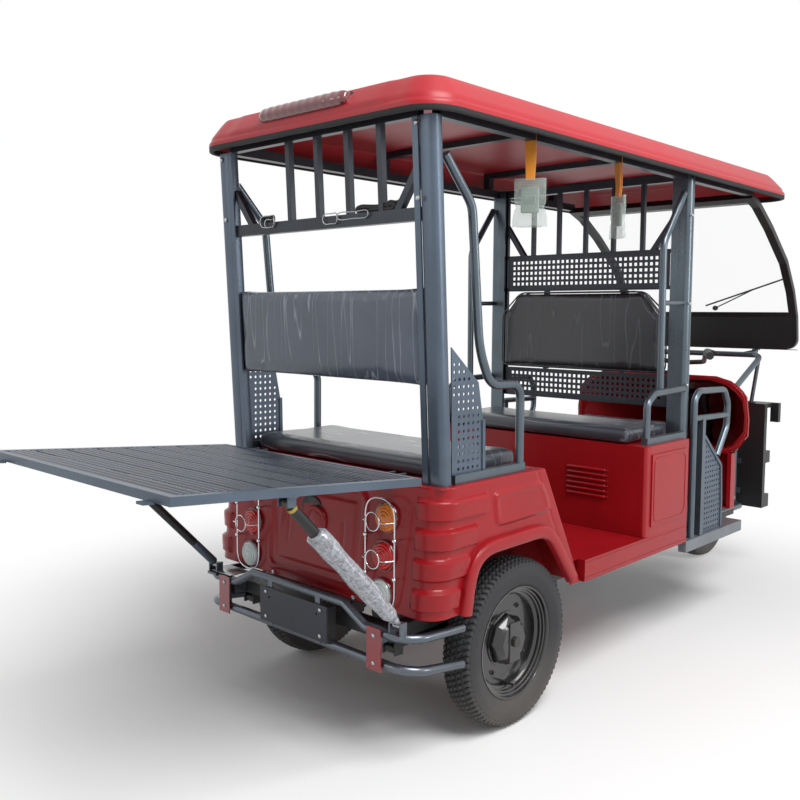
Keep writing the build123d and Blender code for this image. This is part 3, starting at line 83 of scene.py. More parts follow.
# %% [markdown]
# ## Shapes from arrays
# A piece is a grid of points: one array worked out at once from two parameters. Joining neighbours in
# the grid gives the faces. A tube or an edging is a small outline carried along a path, which is a grid
# as well. The drawing sizes are millimetres from the rear axle, because that is how the vehicle was
# measured, and `piece` turns them into the frame's metres when it makes the mesh.
# %% Grid helpers


def place(points):
    """Millimetres from the rear axle to metres in the frame: p / 1000 + the axle's place."""
    return np.asarray(points, float) / 1000 + np.array([0.0, AXLE_Y, 0.0])


def grid_faces(rows, columns, wrap_rows=False, wrap_columns=False):
    """Quads between neighbours of a rows x columns grid, closing a direction that wraps."""
    i = np.arange(rows if wrap_rows else rows - 1)[:, None]
    j = np.arange(columns if wrap_columns else columns - 1)[None, :]
    i2, j2 = (i + 1) % rows, (j + 1) % columns
    quads = np.stack([i * columns + j, i2 * columns + j, i2 * columns + j2, i * columns + j2], -1)
    return quads.reshape(-1, 4).tolist()


def surface(points, wrap_rows=False, wrap_columns=False, caps=False):
    """(points, faces) of a grid. caps closes the first and last row with one face each."""
    rows, columns = points.shape[:2]
    faces = grid_faces(rows, columns, wrap_rows, wrap_columns)
    if caps:
        faces.append(list(range(columns))[::-1])
        faces.append([(rows - 1) * columns + k for k in range(columns)])
    return points.reshape(-1, 3), faces


def joined(parts):
    """Several (points, faces) as one: each part's face numbers move up by the points before it."""
    points, faces, count = [], [], 0
    for part_points, part_faces in parts:
        points.append(part_points)
        faces.extend([[k + count for k in face] for face in part_faces])
        count += len(part_points)
    return np.concatenate(points), faces


def mirrored(part):
    """The part and its mirror image across X = 0."""
    points, faces = part
    return joined([part, (points * np.array([-1.0, 1.0, 1.0]), [face[::-1] for face in faces])])


made = {}


def piece(name, part, material, body="chassis", smooth=40.0, closed=True, stands_for=None):
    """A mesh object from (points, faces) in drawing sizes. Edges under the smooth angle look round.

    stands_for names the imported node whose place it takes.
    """
    points, faces = part
    mesh = bpy.data.meshes.new(name)
    mesh.from_pydata(place(points).tolist(), [], faces)
    if closed:
        work = bmesh.new()
        work.from_mesh(mesh)
        bmesh.ops.remove_doubles(work, verts=work.verts, dist=1e-6)
        bmesh.ops.recalc_face_normals(work, faces=work.faces)
        work.to_mesh(mesh)
        work.free()
    mesh.materials.append(material)
    mesh.shade_smooth()
    mesh.set_sharp_from_angle(angle=math.radians(smooth))
    obj = bpy.data.objects.new(name, mesh)
    bpy.context.collection.objects.link(obj)
    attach(obj, body)
    if stands_for:
        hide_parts(stands_for)
    made[name] = len(mesh.polygons)
    return obj


def unit(vectors):
    """Vectors scaled to length one."""
    return vectors / np.maximum(np.linalg.norm(vectors, axis=-1, keepdims=True), 1e-12)


def carry(outline, path, closed_path=False, normal=None):
    """An outline (k, 2) carried along a path (n, 3): p + a * side + b * up.

    up is the normal of the plane the path lies in, or the one given, and side is square to both.
    """
    path = np.asarray(path, float)
    if closed_path:
        tangent = unit(np.roll(path, -1, 0) - np.roll(path, 1, 0))
    else:
        tangent = unit(np.gradient(path, axis=0))
    if normal is None:
        normal = np.linalg.svd(path - path.mean(0))[2][2]
    side = unit(np.cross(tangent, normal))
    above = np.cross(side, tangent)
    outline = np.asarray(outline, float)
    across, rise = outline[None, :, :1], outline[None, :, 1:]
    points = path[:, None] + across * side[:, None] + rise * above[:, None]
    return surface(points, wrap_rows=closed_path, wrap_columns=True, caps=not closed_path)


def circle(radius, sides=16):
    """Points (cos a, sin a) * radius."""
    a = np.linspace(0, 2 * np.pi, sides, endpoint=False)
    return np.stack([np.cos(a), np.sin(a)], 1) * radius


def tube(path, radius, sides=16, closed=False):
    """A round tube along a path."""
    return carry(circle(radius, sides), path, closed)


def bend(points, radius, steps=7, closed=False):
    """Runs joined by round corners: each corner p is a quadratic curve between p - r t0 and p + r t1."""
    p = np.asarray(points, float)
    count = len(p)
    runs = [] if closed else [p[:1]]
    t = np.linspace(0, 1, steps)[:, None]
    for k in range(count) if closed else range(1, count - 1):
        a, b, c = p[k - 1], p[k], p[(k + 1) % count]
        r0 = min(radius, np.linalg.norm(b - a) * 0.49)
        r1 = min(radius, np.linalg.norm(c - b) * 0.49)
        start, stop = b + unit(a - b) * r0, b + unit(c - b) * r1
        runs.append((1 - t) ** 2 * start + 2 * t * (1 - t) * b + t ** 2 * stop)
    if not closed:
        runs.append(p[-1:])
    return np.concatenate(runs)


def turned(profile, centre, axis=(1, 0, 0), sides=48):
    """A profile of (along, radius) points turned about an axis through centre."""
    profile = np.asarray(profile, float)
    axis = unit(np.asarray(axis, float))
    helper = np.array([0, 0, 1.0]) if abs(axis[2]) < 0.9 else np.array([1.0, 0, 0])
    u = unit(np.cross(axis, helper))
    v = np.cross(axis, u)
    a = np.linspace(0, 2 * np.pi, sides, endpoint=False)
    ring = np.cos(a)[:, None] * u + np.sin(a)[:, None] * v
    points = np.asarray(centre, float) + profile[:, None, :1] * axis + profile[:, None, 1:] * ring[None]
    return surface(points, wrap_columns=True, caps=True)


def slab(low, high, edge):
    """A block with chamfered edges: its outline is cut at the corners and drawn in at both ends."""
    low, high = np.minimum(low, high), np.maximum(low, high)
    size, middle = (high - low) / 2, (high + low) / 2
    e = min(edge, *(size * 0.6))
    x, y, z = size
    full = np.array([(x - e, y), (x, y - e), (x, e - y), (x - e, -y),
                     (e - x, -y), (-x, e - y), (-x, y - e), (e - x, y)])
    drawn_in = full - np.sign(full) * e
    heights = np.array([-z, -z + e, z - e, z])
    plans = np.stack([drawn_in, full, full, drawn_in])
    points = np.concatenate([plans, np.repeat(heights[:, None], len(full), 1)[..., None]], -1)
    return surface(points + middle, wrap_columns=True, caps=True)


print("helpers ready")

# %% [markdown]
# ## Finishes
# Real paint is never one colour: it drifts a little, its gloss drifts with it, and a fine grain breaks the
# highlights. One function builds that from noise on the object's own coordinates, so that neighbouring
# pieces match. Dust gathers low down, where the road throws it. Colours are written as they look on a
# screen, from 0 to 255, and turned into the linear values that light adds up in.
# %% Colour and finish helpers


def rgb(red, green, blue):
    """Screen colour to linear: ((c + 0.055) / 1.055) ^ 2.4, or c / 12.92 where it is dark."""
    c = np.array([red, green, blue]) / 255
    return tuple(np.where(c > 0.04045, ((c + 0.055) / 1.055) ** 2.4, c / 12.92)) + (1.0,)


DUST = rgb(150, 140, 128)


def node(tree, kind, **settings):
    """A shader node with its settings. A key that names an input gives that input its value."""
    made_node = tree.nodes.new(kind)
    for key, value in settings.items():
        if hasattr(made_node, key):
            setattr(made_node, key, value)
        else:
            made_node.inputs[key.replace("_", " ")].default_value = value
    return made_node


def paint(name, colour, rough=0.4, metal=0.0, coat=0.0, coat_rough=0.08, drift=0.10, drift_scale=5.0,
          grain=0.0, grain_scale=500.0, dust=0.0, dust_top=0.35, sheen=0.0, specular=0.5):
    """A finish: colour, roughness and fine bump, each varied by noise in the object's own space."""
    material = bpy.data.materials.new(name)
    material.use_nodes = True
    tree = material.node_tree
    shader = tree.nodes["Principled BSDF"]
    link = tree.links.new
    where = node(tree, "ShaderNodeTexCoord").outputs["Object"]
    slow = node(tree, "ShaderNodeTexNoise", Scale=drift_scale, Detail=4.0, Roughness=0.6)
    link(where, slow.inputs["Vector"])
    colour = np.array(colour)
    tint = node(tree, "ShaderNodeMix", data_type="RGBA")
    tint.inputs[6].default_value = tuple(np.clip(colour * (1 - drift), 0, 1)[:3]) + (1,)
    tint.inputs[7].default_value = tuple(np.clip(colour * (1 + drift), 0, 1)[:3]) + (1,)
    spread = node(tree, "ShaderNodeMapRange", From_Min=0.35, From_Max=0.65)
    link(slow.outputs["Fac"], spread.inputs["Value"])
    link(spread.outputs["Result"], tint.inputs[0])
    result = tint.outputs[2]
    if dust:
        split = node(tree, "ShaderNodeSeparateXYZ")
        link(where, split.inputs[0])
        low = node(tree, "ShaderNodeMapRange", From_Min=dust_top, From_Max=0.0, To_Min=0.0, To_Max=dust)
        link(split.outputs["Z"], low.inputs["Value"])
        patchy = node(tree, "ShaderNodeMath", operation="MULTIPLY")
        link(low.outputs["Result"], patchy.inputs[0])
        link(slow.outputs["Fac"], patchy.inputs[1])
        dusty = node(tree, "ShaderNodeMix", data_type="RGBA")
        dusty.inputs[7].default_value = DUST
        link(patchy.outputs[0], dusty.inputs[0])
        link(result, dusty.inputs[6])
        result = dusty.outputs[2]
    link(result, shader.inputs["Base Color"])
    gloss = node(tree, "ShaderNodeMapRange", To_Min=max(rough - 0.06, 0.02), To_Max=rough + 0.08)
    link(slow.outputs["Fac"], gloss.inputs["Value"])
    link(gloss.outputs["Result"], shader.inputs["Roughness"])
    shader.inputs["Metallic"].default_value = metal
    shader.inputs["Coat Weight"].default_value = coat
    shader.inputs["Coat Roughness"].default_value = coat_rough
    shader.inputs["Specular IOR Level"].default_value = specular
    if sheen:
        shader.inputs["Sheen Weight"].default_value = sheen
    if grain:
        fine = node(tree, "ShaderNodeTexNoise", Scale=grain_scale, Detail=3.0)
        link(where, fine.inputs["Vector"])
        bump = node(tree, "ShaderNodeBump", Strength=1.0, Distance=grain)
        link(fine.outputs["Fac"], bump.inputs["Height"])
        link(bump.outputs["Normal"], shader.inputs["Normal"])
    return material


red_paint = paint("red_paint", rgb(146, 16, 24), rough=0.34, coat=0.22, coat_rough=0.1, drift=0.08,
                  specular=0.25, grain=0.00006, grain_scale=900, dust=0.25)
roof_red = paint("roof_red", rgb(164, 26, 36), rough=0.44, coat=0.25, coat_rough=0.32, drift=0.06,
                 specular=0.3, grain=0.00005, grain_scale=800)
frame_paint = paint("frame_paint", rgb(84, 96, 110), rough=0.36, metal=0.55, drift=0.10, grain=0.00005,
                    grain_scale=1200, dust=0.25)
tube_paint = paint("tube_paint", rgb(92, 102, 110), rough=0.28, metal=0.75, drift=0.12, grain=0.00005,
                   grain_scale=1000, dust=0.2)
dark_frame = paint("dark_frame", rgb(50, 54, 61), rough=0.34, metal=0.5, drift=0.15, grain=0.00005,
                   grain_scale=1000)
bumper_paint = paint("bumper_paint", rgb(98, 104, 112), rough=0.26, metal=0.85, drift=0.12, grain=0.00005,
                     grain_scale=900, dust=0.2)
deck_paint = paint("deck_paint", rgb(56, 63, 76), rough=0.26, metal=0.6, drift=0.2, grain=0.00006,
                   grain_scale=900)
step_paint = paint("step_paint", rgb(120, 124, 130), rough=0.42, metal=0.5, drift=0.12, grain=0.0001,
                   grain_scale=500, dust=0.3)
chassis_black = paint("chassis_black", rgb(28, 29, 31), rough=0.45, drift=0.2, grain=0.0001, dust=0.5)
wheel_black = paint("wheel_black", rgb(16, 17, 20), rough=0.22, coat=0.6, drift=0.2, grain=0.00004,
                    dust=0.12)
tyre_rubber = paint("tyre_rubber", rgb(34, 35, 38), rough=0.62, drift=0.15, grain=0.0001, grain_scale=900,
                    dust=0.35, dust_top=0.25)
vinyl = paint("vinyl", rgb(62, 68, 76), rough=0.38, coat=0.35, coat_rough=0.15, drift=0.12, grain=0.00012,
              grain_scale=420)
black_plastic = paint("black_plastic", rgb(20, 21, 23), rough=0.42, drift=0.15, grain=0.0001,
                      grain_scale=700)
rubber = paint("rubber", rgb(22, 22, 23), rough=0.7, drift=0.15, grain=0.0002, grain_scale=300)
plate_dark = paint("plate_dark", rgb(52, 54, 62), rough=0.4, metal=0.4, drift=0.1, grain=0.00008)
reflector = paint("reflector", rgb(140, 22, 34), rough=0.25, coat=0.8, drift=0.08, grain=0.0004,
                  grain_scale=160)
chrome = paint("chrome", rgb(205, 208, 212), rough=0.12, metal=1.0, drift=0.05, grain=0.00002)
zinc = paint("zinc", rgb(170, 172, 174), rough=0.32, metal=0.95, drift=0.1, grain=0.00004)
brass = paint("brass", rgb(176, 150, 80), rough=0.35, metal=0.9, drift=0.15, grain=0.00004)
lens_red = paint("lens_red", rgb(196, 12, 16), rough=0.14, coat=0.25, coat_rough=0.03, drift=0.12,
                 drift_scale=40)
lens_amber = paint("lens_amber", rgb(226, 122, 8), rough=0.14, coat=0.25, coat_rough=0.03, drift=0.12,
                   drift_scale=40)
lens_clear = paint("lens_clear", rgb(196, 206, 206), rough=0.12, coat=1.0, coat_rough=0.03, drift=0.10,
                   drift_scale=40)
lens_maroon = paint("lens_maroon", rgb(108, 18, 26), rough=0.10, coat=1.0, coat_rough=0.03, drift=0.15,
                    drift_scale=20)
strap_orange = paint("strap_orange", rgb(226, 142, 34), rough=0.7, sheen=0.3, drift=0.12, grain=0.0002,
                     grain_scale=700)
grip_grey = paint("grip_grey", rgb(132, 146, 138), rough=0.45, drift=0.08, grain=0.00008)


def clear(name, colour, alpha, rough, creases=0.0, crease_scale=14.0):
    """See-through glass or film: nearly clear where it is flat, whiter where ridges of noise crease it,
    partly as the film's whitening at its folds and partly as painted highlight.
    """
    material = bpy.data.materials.new(name)
    material.use_nodes = True
    tree = material.node_tree
    shader = tree.nodes["Principled BSDF"]
    link = tree.links.new
    shader.inputs["Roughness"].default_value = rough
    shader.inputs["Base Color"].default_value = colour
    where = node(tree, "ShaderNodeTexCoord").outputs["Object"]
    noise = node(tree, "ShaderNodeTexNoise", noise_type="RIDGED_MULTIFRACTAL", normalize=True,
                 Scale=crease_scale, Detail=3.0)
    link(where, noise.inputs["Vector"])
    # The creases raise the pale film's alpha: partly its whitening at the folds, partly a painted highlight.
    crease_highlight_alpha = node(tree, "ShaderNodeMapRange", From_Min=0.55, From_Max=0.95, To_Min=alpha,
                 To_Max=min(alpha + creases, 1.0))
    link(noise.outputs["Fac"], crease_highlight_alpha.inputs["Value"])
    link(crease_highlight_alpha.outputs["Result"], shader.inputs["Alpha"])
    bump = node(tree, "ShaderNodeBump", Strength=1.0, Distance=0.003)
    link(noise.outputs["Fac"], bump.inputs["Height"])
    link(bump.outputs["Normal"], shader.inputs["Normal"])
    return material


glass = clear("glass", rgb(210, 228, 222), 0.035, rough=0.03)
print("finishes", len(bpy.data.materials))

# %% [markdown]
# ## Finishes on the frame's own pieces
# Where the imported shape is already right, the piece stays and only gets its finish. The straight tubes and
# flat sheets could be made again here, but a second mesh would add nothing to them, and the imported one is
# exact. A node that gets a new surface below is painted too, so that nothing is bare if it shows.
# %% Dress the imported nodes
FINISH_OF = {
    red_paint: "rear_body seat_box front_cowl driver_seat_base floor_pan box_floor",
    roof_red: "roof_shell",
    frame_paint: "rear_posts hinge_stands carrier_frame side_panels step_panels",
    tube_paint: "rear_side_frames bench_arm_rails step_frames front_hoops partition_posts",
    dark_frame: "roof_frame rear_grille partition_frame partition_meshes",
    deck_paint: "carrier_deck",
    bumper_paint: "rear_bumper",
    step_paint: "driver_floor",
    chassis_black: "chassis_frame leaf_springs rear_axle fork handlebar front_mudguard battery_pack",
    wheel_black: "rear_rim_left rear_rim_right front_rim",
    tyre_rubber: "rear_tyre_left rear_tyre_right front_tyre",
    vinyl: "rear_backrest bench_backrest rear_cushion bench_cushion driver_seat",
    black_plastic: "windscreen_frame lamp_panels strut_cylinder_left strut_cylinder_right",
    plate_dark: "rear_plate",
    reflector: "bumper_plates",
    chrome: "lamp_guards",
    zinc: "strut_rod_left strut_rod_right",
    lens_red: "tail_lamps",
    lens_maroon: "roof_lamp_bar",
    lens_clear: "headlamps",
    strap_orange: "hanging_handles",
    glass: "windscreen_glass",
}
for material, names in FINISH_OF.items():
    for name in names.split():
        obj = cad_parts[name]
        obj.data.materials.clear()
        obj.data.materials.append(material)
painted = " ".join(FINISH_OF.values()).split()
left_bare = [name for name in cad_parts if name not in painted]
print("nodes without a finish:", left_bare)

# %% [markdown]
# ## Tyres
# A tyre is one outline, bead to bead, carried round the wheel. The blocks of its tread could be separate
# meshes, but it is simpler to raise and lower the outline's radius with a pattern that steps between 0
# and 1: rows of blocks across, pitches of blocks round, and every other row turned half a pitch.
# %% Tyre surface
TYRE_R, TYRE_HALF, TREAD_HALF = 244.6, 48.0, 44.0
TREAD_DEPTH, PITCHES, BLOCK_STEPS, BLOCK_ROWS = 6.5, 82, 6, 5
CROWN_DROP, CROWN_POINTS, SHOULDER_POINTS = 11, 30, 3
BEAD_LINE_R = 214
TRACK_HALF, WHEELBASE, AXLE_UP = 415, 2170, 245
# Each wheel: how its nodes are called, its centre, the side its cap looks to, and its body.
WHEELS = [("rear_{}_right", (TRACK_HALF, 0, AXLE_UP), 1, "rear_wheel_right"),
          ("rear_{}_left", (-TRACK_HALF, 0, AXLE_UP), -1, "rear_wheel_left"),
          ("front_{}", (0, WHEELBASE, AXLE_UP), 1, "front_wheel")]


def smooth_line(points, steps):
    """A Catmull-Rom curve through the points: each stretch is a cubic of its four nearest points."""
    p = np.asarray(points, float)
    p = np.concatenate([2 * p[:1] - p[1:2], p, 2 * p[-1:] - p[-2:-1]])
    t = np.linspace(0, 1, steps, endpoint=False)[:, None]
    runs = []
    for k in range(1, len(p) - 2):
        a, b, c, d = p[k - 1:k + 3]
        runs.append(0.5 * (2 * b + (c - a) * t + (2 * a - 5 * b + 4 * c - d) * t ** 2
                           + (3 * b - a - 3 * c + d) * t ** 3))
    return np.concatenate(runs + [p[-2:-1]])


def tyre_part(centre):
    """Outline (x, r) times angle, with r lowered by the tread depth outside the blocks."""
    wall = smooth_line([(-37, 165), (-42, 172), (-TYRE_HALF, 196), (-TYRE_HALF + 1, BEAD_LINE_R),
                        (-TREAD_HALF, 230)], 6)
    wall[:, 1] += 1.6 * np.exp(-((wall[:, 1] - BEAD_LINE_R) / 2.5) ** 2)
    x = np.linspace(-TREAD_HALF + 1, TREAD_HALF - 1, CROWN_POINTS)
    crown = np.stack([x, TYRE_R - CROWN_DROP * (np.abs(x) / TREAD_HALF) ** 2.6], 1)
    outline = np.concatenate([wall, crown, wall[::-1] * [-1, 1]])
    inner = np.array([(37.0, 163.7), (20.0, 163.0), (-20.0, 163.0), (-37.0, 163.7)])
    count = PITCHES * BLOCK_STEPS
    angle = np.linspace(0, 2 * np.pi, count, endpoint=False)[:, None]
    place_across = (outline[:, 0] + TREAD_HALF) / (2 * TREAD_HALF) * BLOCK_ROWS
    row = np.clip(place_across.astype(int), 0, BLOCK_ROWS - 1)
    in_row = np.mod(place_across, 1)
    shift = BLOCK_STEPS // 2 * (row % 2) + (in_row > 0.5)
    stage = (np.arange(count)[:, None] + shift[None]) % BLOCK_STEPS
    block = (stage > 0) & (stage < BLOCK_STEPS - 1)
    groove = ((in_row < 0.14) | (in_row > 0.9)) & (np.abs(outline[:, 0]) < TREAD_HALF - 4)
    on_crown = np.zeros(len(outline), bool)
    on_crown[len(wall) - SHOULDER_POINTS:-len(wall) + SHOULDER_POINTS] = True
    low = on_crown[None] & (~block | groove[None])
    radius = np.concatenate([outline[None, :, 1] - TREAD_DEPTH * low, np.tile(inner[:, 1], (count, 1))], 1)
    along = np.broadcast_to(np.concatenate([outline[:, 0], inner[:, 0]]), radius.shape)
    points = np.stack([along, radius * np.cos(angle), radius * np.sin(angle)], -1)
    return surface(points + np.asarray(centre, float), wrap_rows=True, wrap_columns=True)


for called, centre, side, body in WHEELS:
    name = called.format("tyre")
    piece(name + "_tread", tyre_part(centre), tyre_rubber, body, smooth=32, stands_for=name)
print("tyre faces", made["front_tyre_tread"])

# %% [markdown]
# ## Wheels
# The rim is pressed from one sheet, so its barrel goes down in steps, and each step draws a bright ring.
# It is one outline turned about the axle. The disc's nuts and the faceted cap over the hub are separate
# small pieces joined into one mesh.
# %% Rims
# Outlines are (along the axle, radius), with the cap's side positive.
RIM = [(-38, 163.4), (-38, 157), (-30, 155), (-20, 138), (-6, 134), (6, 134), (11, 139), (12, 143.5),
       (19, 145), (21, 149.5), (27, 151), (29, 155.5), (35, 157), (38, 158.5), (39, 163.2), (36, 163.6),
       (32, 160.5), (26, 158), (21, 154), (12, 149), (8, 142), (-6, 138), (-16, 141), (-26, 159),
       (-34, 160.5)]
DISC = [(-6, 136), (-11, 126), (-16, 117), (-9, 108), (-7, 99), (-12, 91), (-14, 82), (-9, 79),
        (-9, 12), (-15, 12), (-15, 80), (-20, 84), (-18, 92), (-13, 100), (-15, 109), (-22, 117),
        (-17, 128), (-12, 137)]
FACETED_CAP = [(-10, 79), (0, 78), (8, 74), (22, 62), (30, 54), (31, 0.5)]
HUB_FACE = [(-11, 82), (-3, 81), (-2, 0.5)]
NUT = [(0, 9.5), (7, 9.5), (9, 7.5), (9, 5), (15, 5), (16, 3.5), (16, 0.3)]
VALVE = [(-4, 4.5), (14, 4), (15, 3.4), (30, 3.4), (31, 0.3)]
NUT_CIRCLE, PAD_CIRCLE, VALVE_CIRCLE, AROUND = 104, 119, 130, 8


def rim_part(centre, side):
    """Barrel, disc and cap outlines, turned, with four nuts between four raised pads, and a valve."""
    centre = np.asarray(centre, float)

    def about_axle(outline, at, sides):
        return turned(np.array(outline) * [side, 1.0], at, sides=sides)

    parts = [about_axle(RIM, centre, 96), about_axle(DISC, centre, 96),
             about_axle(FACETED_CAP, centre, AROUND), about_axle(HUB_FACE, centre, 64)]
    x = side * 31.5
    parts.append(slab(centre + (x - 5, -26, -60), centre + (x + 3, 26, 60), edge=4))
    for k in range(AROUND):
        a = k * 2 * math.pi / AROUND + 0.2
        round_here = np.array([0.0, math.cos(a), math.sin(a)])
        if k % 2:
            parts.append(about_axle(NUT, centre + (side * -13.0, 0, 0) + NUT_CIRCLE * round_here, 6))
        else:
            pad_at = centre + PAD_CIRCLE * round_here
            parts.append(slab(pad_at + (side * -16, -11, -11), pad_at + (side * -8, 11, 11), edge=3))
    parts.append(about_axle(VALVE, centre + (side * 2.0, 0, -VALVE_CIRCLE), 10))
    return joined(parts)


for called, centre, side, body in WHEELS:
    name = called.format("rim")
    piece(name + "_pressed", rim_part(centre, side), wheel_black, body, smooth=34, stands_for=name)
print("rim faces", made["front_rim_pressed"])

# %% [markdown]
# ## Roof
# The roof is one moulding: a tray upside down with soft corners. It could be a box with a bevel, but its
# slopes differ on all four sides, so it is built as rings seen from above. Each ring is a rounded
# rectangle at its own height, and the rings step in and up from the lip to the middle. The same rings,
# drawn in and lowered a little, are the underside.
# %% Roof skin, rubber channel and lamp bar
ROOF_X, ROOF_REAR, ROOF_FRONT, ROOF_R = 500.0, -440.0, 1885.0, 105.0
ROOF_LOW, ROOF_TOP, LINING_IN, LINING_DOWN = 1706.0, 1796.0, 5, 4
SLOPE_X, SLOPE_REAR, SLOPE_FRONT, SLOPE_R = 52.0, 50.0, 96.0, 40.0
PANEL_HALF, PANEL_OUT = 335, 5


def step(value):
    """A soft step from 0 to 1: 3 v^2 - 2 v^3 on v held between 0 and 1."""
    v = np.clip(value, 0, 1)
    return v * v * (3 - 2 * v)


def ring(x, y0, y1, r, corner=14, side=30):
    """A rounded rectangle seen from above, anticlockwise: four quarter circles and the runs between."""
    arcs = []
    middles = [(x - r, y1 - r), (r - x, y1 - r), (r - x, y0 + r), (x - r, y0 + r)]
    for k, (cx, cy) in enumerate(middles):
        a = np.radians(np.linspace(90 * k, 90 * k + 90, corner))
        arcs.append(np.stack([cx + r * np.cos(a), cy + r * np.sin(a)], 1))
    t = np.linspace(0, 1, side + 2)[1:-1, None]
    runs = []
    for k in range(4):
        a, b = arcs[k][-1], arcs[(k + 1) % 4][0]
        runs += [arcs[k], a + (b - a) * t]
    return np.concatenate(runs)


def roof_ring(slope, shrink, z, inset):
    """The ring at a share of the slope, drawn in by inset and shrunk towards the roof's middle.

    At the rear, a flat panel for the lamp bar stands a little proud of the slope.
    """
    x = ROOF_X - SLOPE_X * slope - inset
    y0 = ROOF_REAR + SLOPE_REAR * slope + inset
    y1 = ROOF_FRONT - SLOPE_FRONT * slope - inset
    plan = ring(x, y0, y1, ROOF_R - SLOPE_R * slope - inset)
    middle = np.array([0, (y0 + y1) / 2])
    plan = middle + (plan - middle) * (1 - shrink)
    proud = PANEL_OUT * step((PANEL_HALF - np.abs(plan[:, 0])) / 12) * step((y0 + 40 - plan[:, 1]) / 20)
    plan[:, 1] -= proud * step((slope - 0.08) / 0.1) * (shrink == 0)
    return np.column_stack([plan, np.full(len(plan), z)])


# Share of the slope, how far the ring is shrunk, and its height.
OUTSIDE = [(0, 0, ROOF_LOW), (0, 0, 1714), (0.03, 0, 1719), (0.09, 0, 1722), (0.13, 0, 1727), (0.16, 0, 1734),
           (0.3, 0, 1744), (0.5, 0, 1759), (0.7, 0, 1773), (0.86, 0, 1783), (0.93, 0, 1787), (1, 0, 1789.5),
           (1, 0.03, 1790.5), (1, 0.06, 1791), (1, 0.1, 1791.5), (1, 0.3, 1792.5), (1, 0.6, 1793),
           (1, 0.97, 1793)]
lining = [roof_ring(share, shrink, max(z - LINING_DOWN, ROOF_LOW), LINING_IN)
          for share, shrink, z in OUTSIDE[::-1]]
outer = [roof_ring(share, shrink, z, 0) for share, shrink, z in OUTSIDE]
piece("roof_skin", surface(np.array(lining + outer), wrap_columns=True, caps=True), roof_red, smooth=50,
      stands_for="roof_shell")

CHANNEL_IN, CHANNEL_Z = 7, 1702.0
channel = ring(ROOF_X - CHANNEL_IN, ROOF_REAR + CHANNEL_IN, ROOF_FRONT - CHANNEL_IN, ROOF_R - CHANNEL_IN)
channel = np.column_stack([channel, np.full(len(channel), CHANNEL_Z)])
lip = [(-6, -9), (5, -9), (6.5, -7), (6.5, 5), (-6, 5)]
piece("roof_channel", carry(lip, channel, closed_path=True, normal=(0, 0, 1)), rubber)


FLUTE_PITCH = 33


def loaf(length, half_wide, high, power=9.0, rows=60, sides=40):
    """Rings along X, each a half-flat oval, drawn in at both ends as (1 - |2x / L|^p)^(1 / p).

    Shallow flutes run round it, a cosine of x.
    """
    x = length / 2 * np.sin(np.linspace(-np.pi / 2, np.pi / 2, rows))
    scale = np.maximum(1 - np.abs(2 * x / length) ** power, 1e-4) ** (1 / power)
    a = np.linspace(0, 2 * np.pi, sides, endpoint=False)
    u = half_wide * np.sign(np.cos(a)) * np.abs(np.cos(a)) ** 0.7
    w = high * np.maximum(np.sin(a), 0) ** 0.8
    flutes = 1 + 0.02 * np.cos(x * 2 * np.pi / FLUTE_PITCH)[:, None]
    return np.stack([np.broadcast_to(x[:, None], (rows, sides)), scale[:, None] * u * flutes,
                     scale[:, None] * w * flutes], -1)


UP_SLOPE = 0.57
run, rise = SLOPE_REAR, ROOF_TOP - ROOF_LOW
across = np.array([1.0, 0, 0])
along = np.array([0, run, rise]) / math.hypot(run, rise)
outwards = np.array([0, -rise, run]) / math.hypot(run, rise)
bar_at = np.array([0, ROOF_REAR + run * UP_SLOPE, ROOF_LOW + rise * UP_SLOPE])
oval = loaf(366, 23, 33)
x, y, z = oval[..., :1], oval[..., 1:2], oval[..., 2:]
lens = bar_at + x * across + y * along + z * outwards
piece("roof_lamp_lens", surface(lens, wrap_columns=True, caps=True), lens_maroon,
      stands_for="roof_lamp_bar")
base = bar_at + x * 1.03 * across + y * 1.22 * along + np.minimum(z, 6) * outwards
piece("roof_lamp_base", surface(base, wrap_columns=True, caps=True), rubber)
print("roof faces", made["roof_skin"])

# %% [markdown]
# ## Rear body
# The tub is pressed from sheet. Its skin starts as a plain wall that follows the plan, from the front edge
# of one wing round the rear to the other. Every pressing is then a height added along the wall's outward
# direction: four laps that wrap the corners, the raised panels on the sides and the border on the rear.
# The wheel arch is cut by leaving faces out, and a flanged lip covers the cut. Heights are easier to
# place exactly this way than by carving.
# %% Body skin with its pressings
BODY_X, BODY_TOP, BODY_LOW, CORNER = 470.0, 745.0, 400.0, 60.0
RIBS = [(716.0, -167.0), (637.5, -208.0), (559.0, -245.0), (480.5, -285.0)]
RIB_H, RIB_OUT, RIB_STEP, RIB_REACH = 58.0, 12.5, 11, 388
SIDE_COLUMNS, BACK_COLUMNS, ROW_PITCH, EDGE_R = 90, 170, 3.6, 5
BORDER_HALF, BORDER_Z, BORDER_HIGH, BORDER_R, BORDER_OUT = 202, 563.5, 139.5, 40, 8
ARCH = [(-266, 300), (-266, 396), (-246, 512), (-192, 561), (88, 565), (137, 538), (252, 386), (262, 300)]
SIDE_PANEL = [(-150, 712), (92, 716), (146, 612), (-134, 606)]
SOFT_CORNER, WING_REAR_Y = 9.0, 100


def rear_y(z):
    """The rear wall leans: its y at height z."""
    return -358.0 - 34.0 * (BODY_TOP - z) / 345.0


def front_y(z):
    """The wings' front edge slopes forwards going down."""
    return 103.0 + 202.0 * (BODY_TOP - z) / 383.0


def inside(y, z, corners):
    """Which points are inside the polygon, by counting the edges crossed on the way out."""
    result = np.zeros(y.shape, bool)
    for (y0, z0), (y1, z1) in zip(corners, corners[1:] + corners[:1]):
        if z0 != z1:
            crosses = (z0 > z) != (z1 > z)
            result ^= crosses & (y < (y1 - y0) * (z - z0) / (z1 - z0) + y0)
    return result


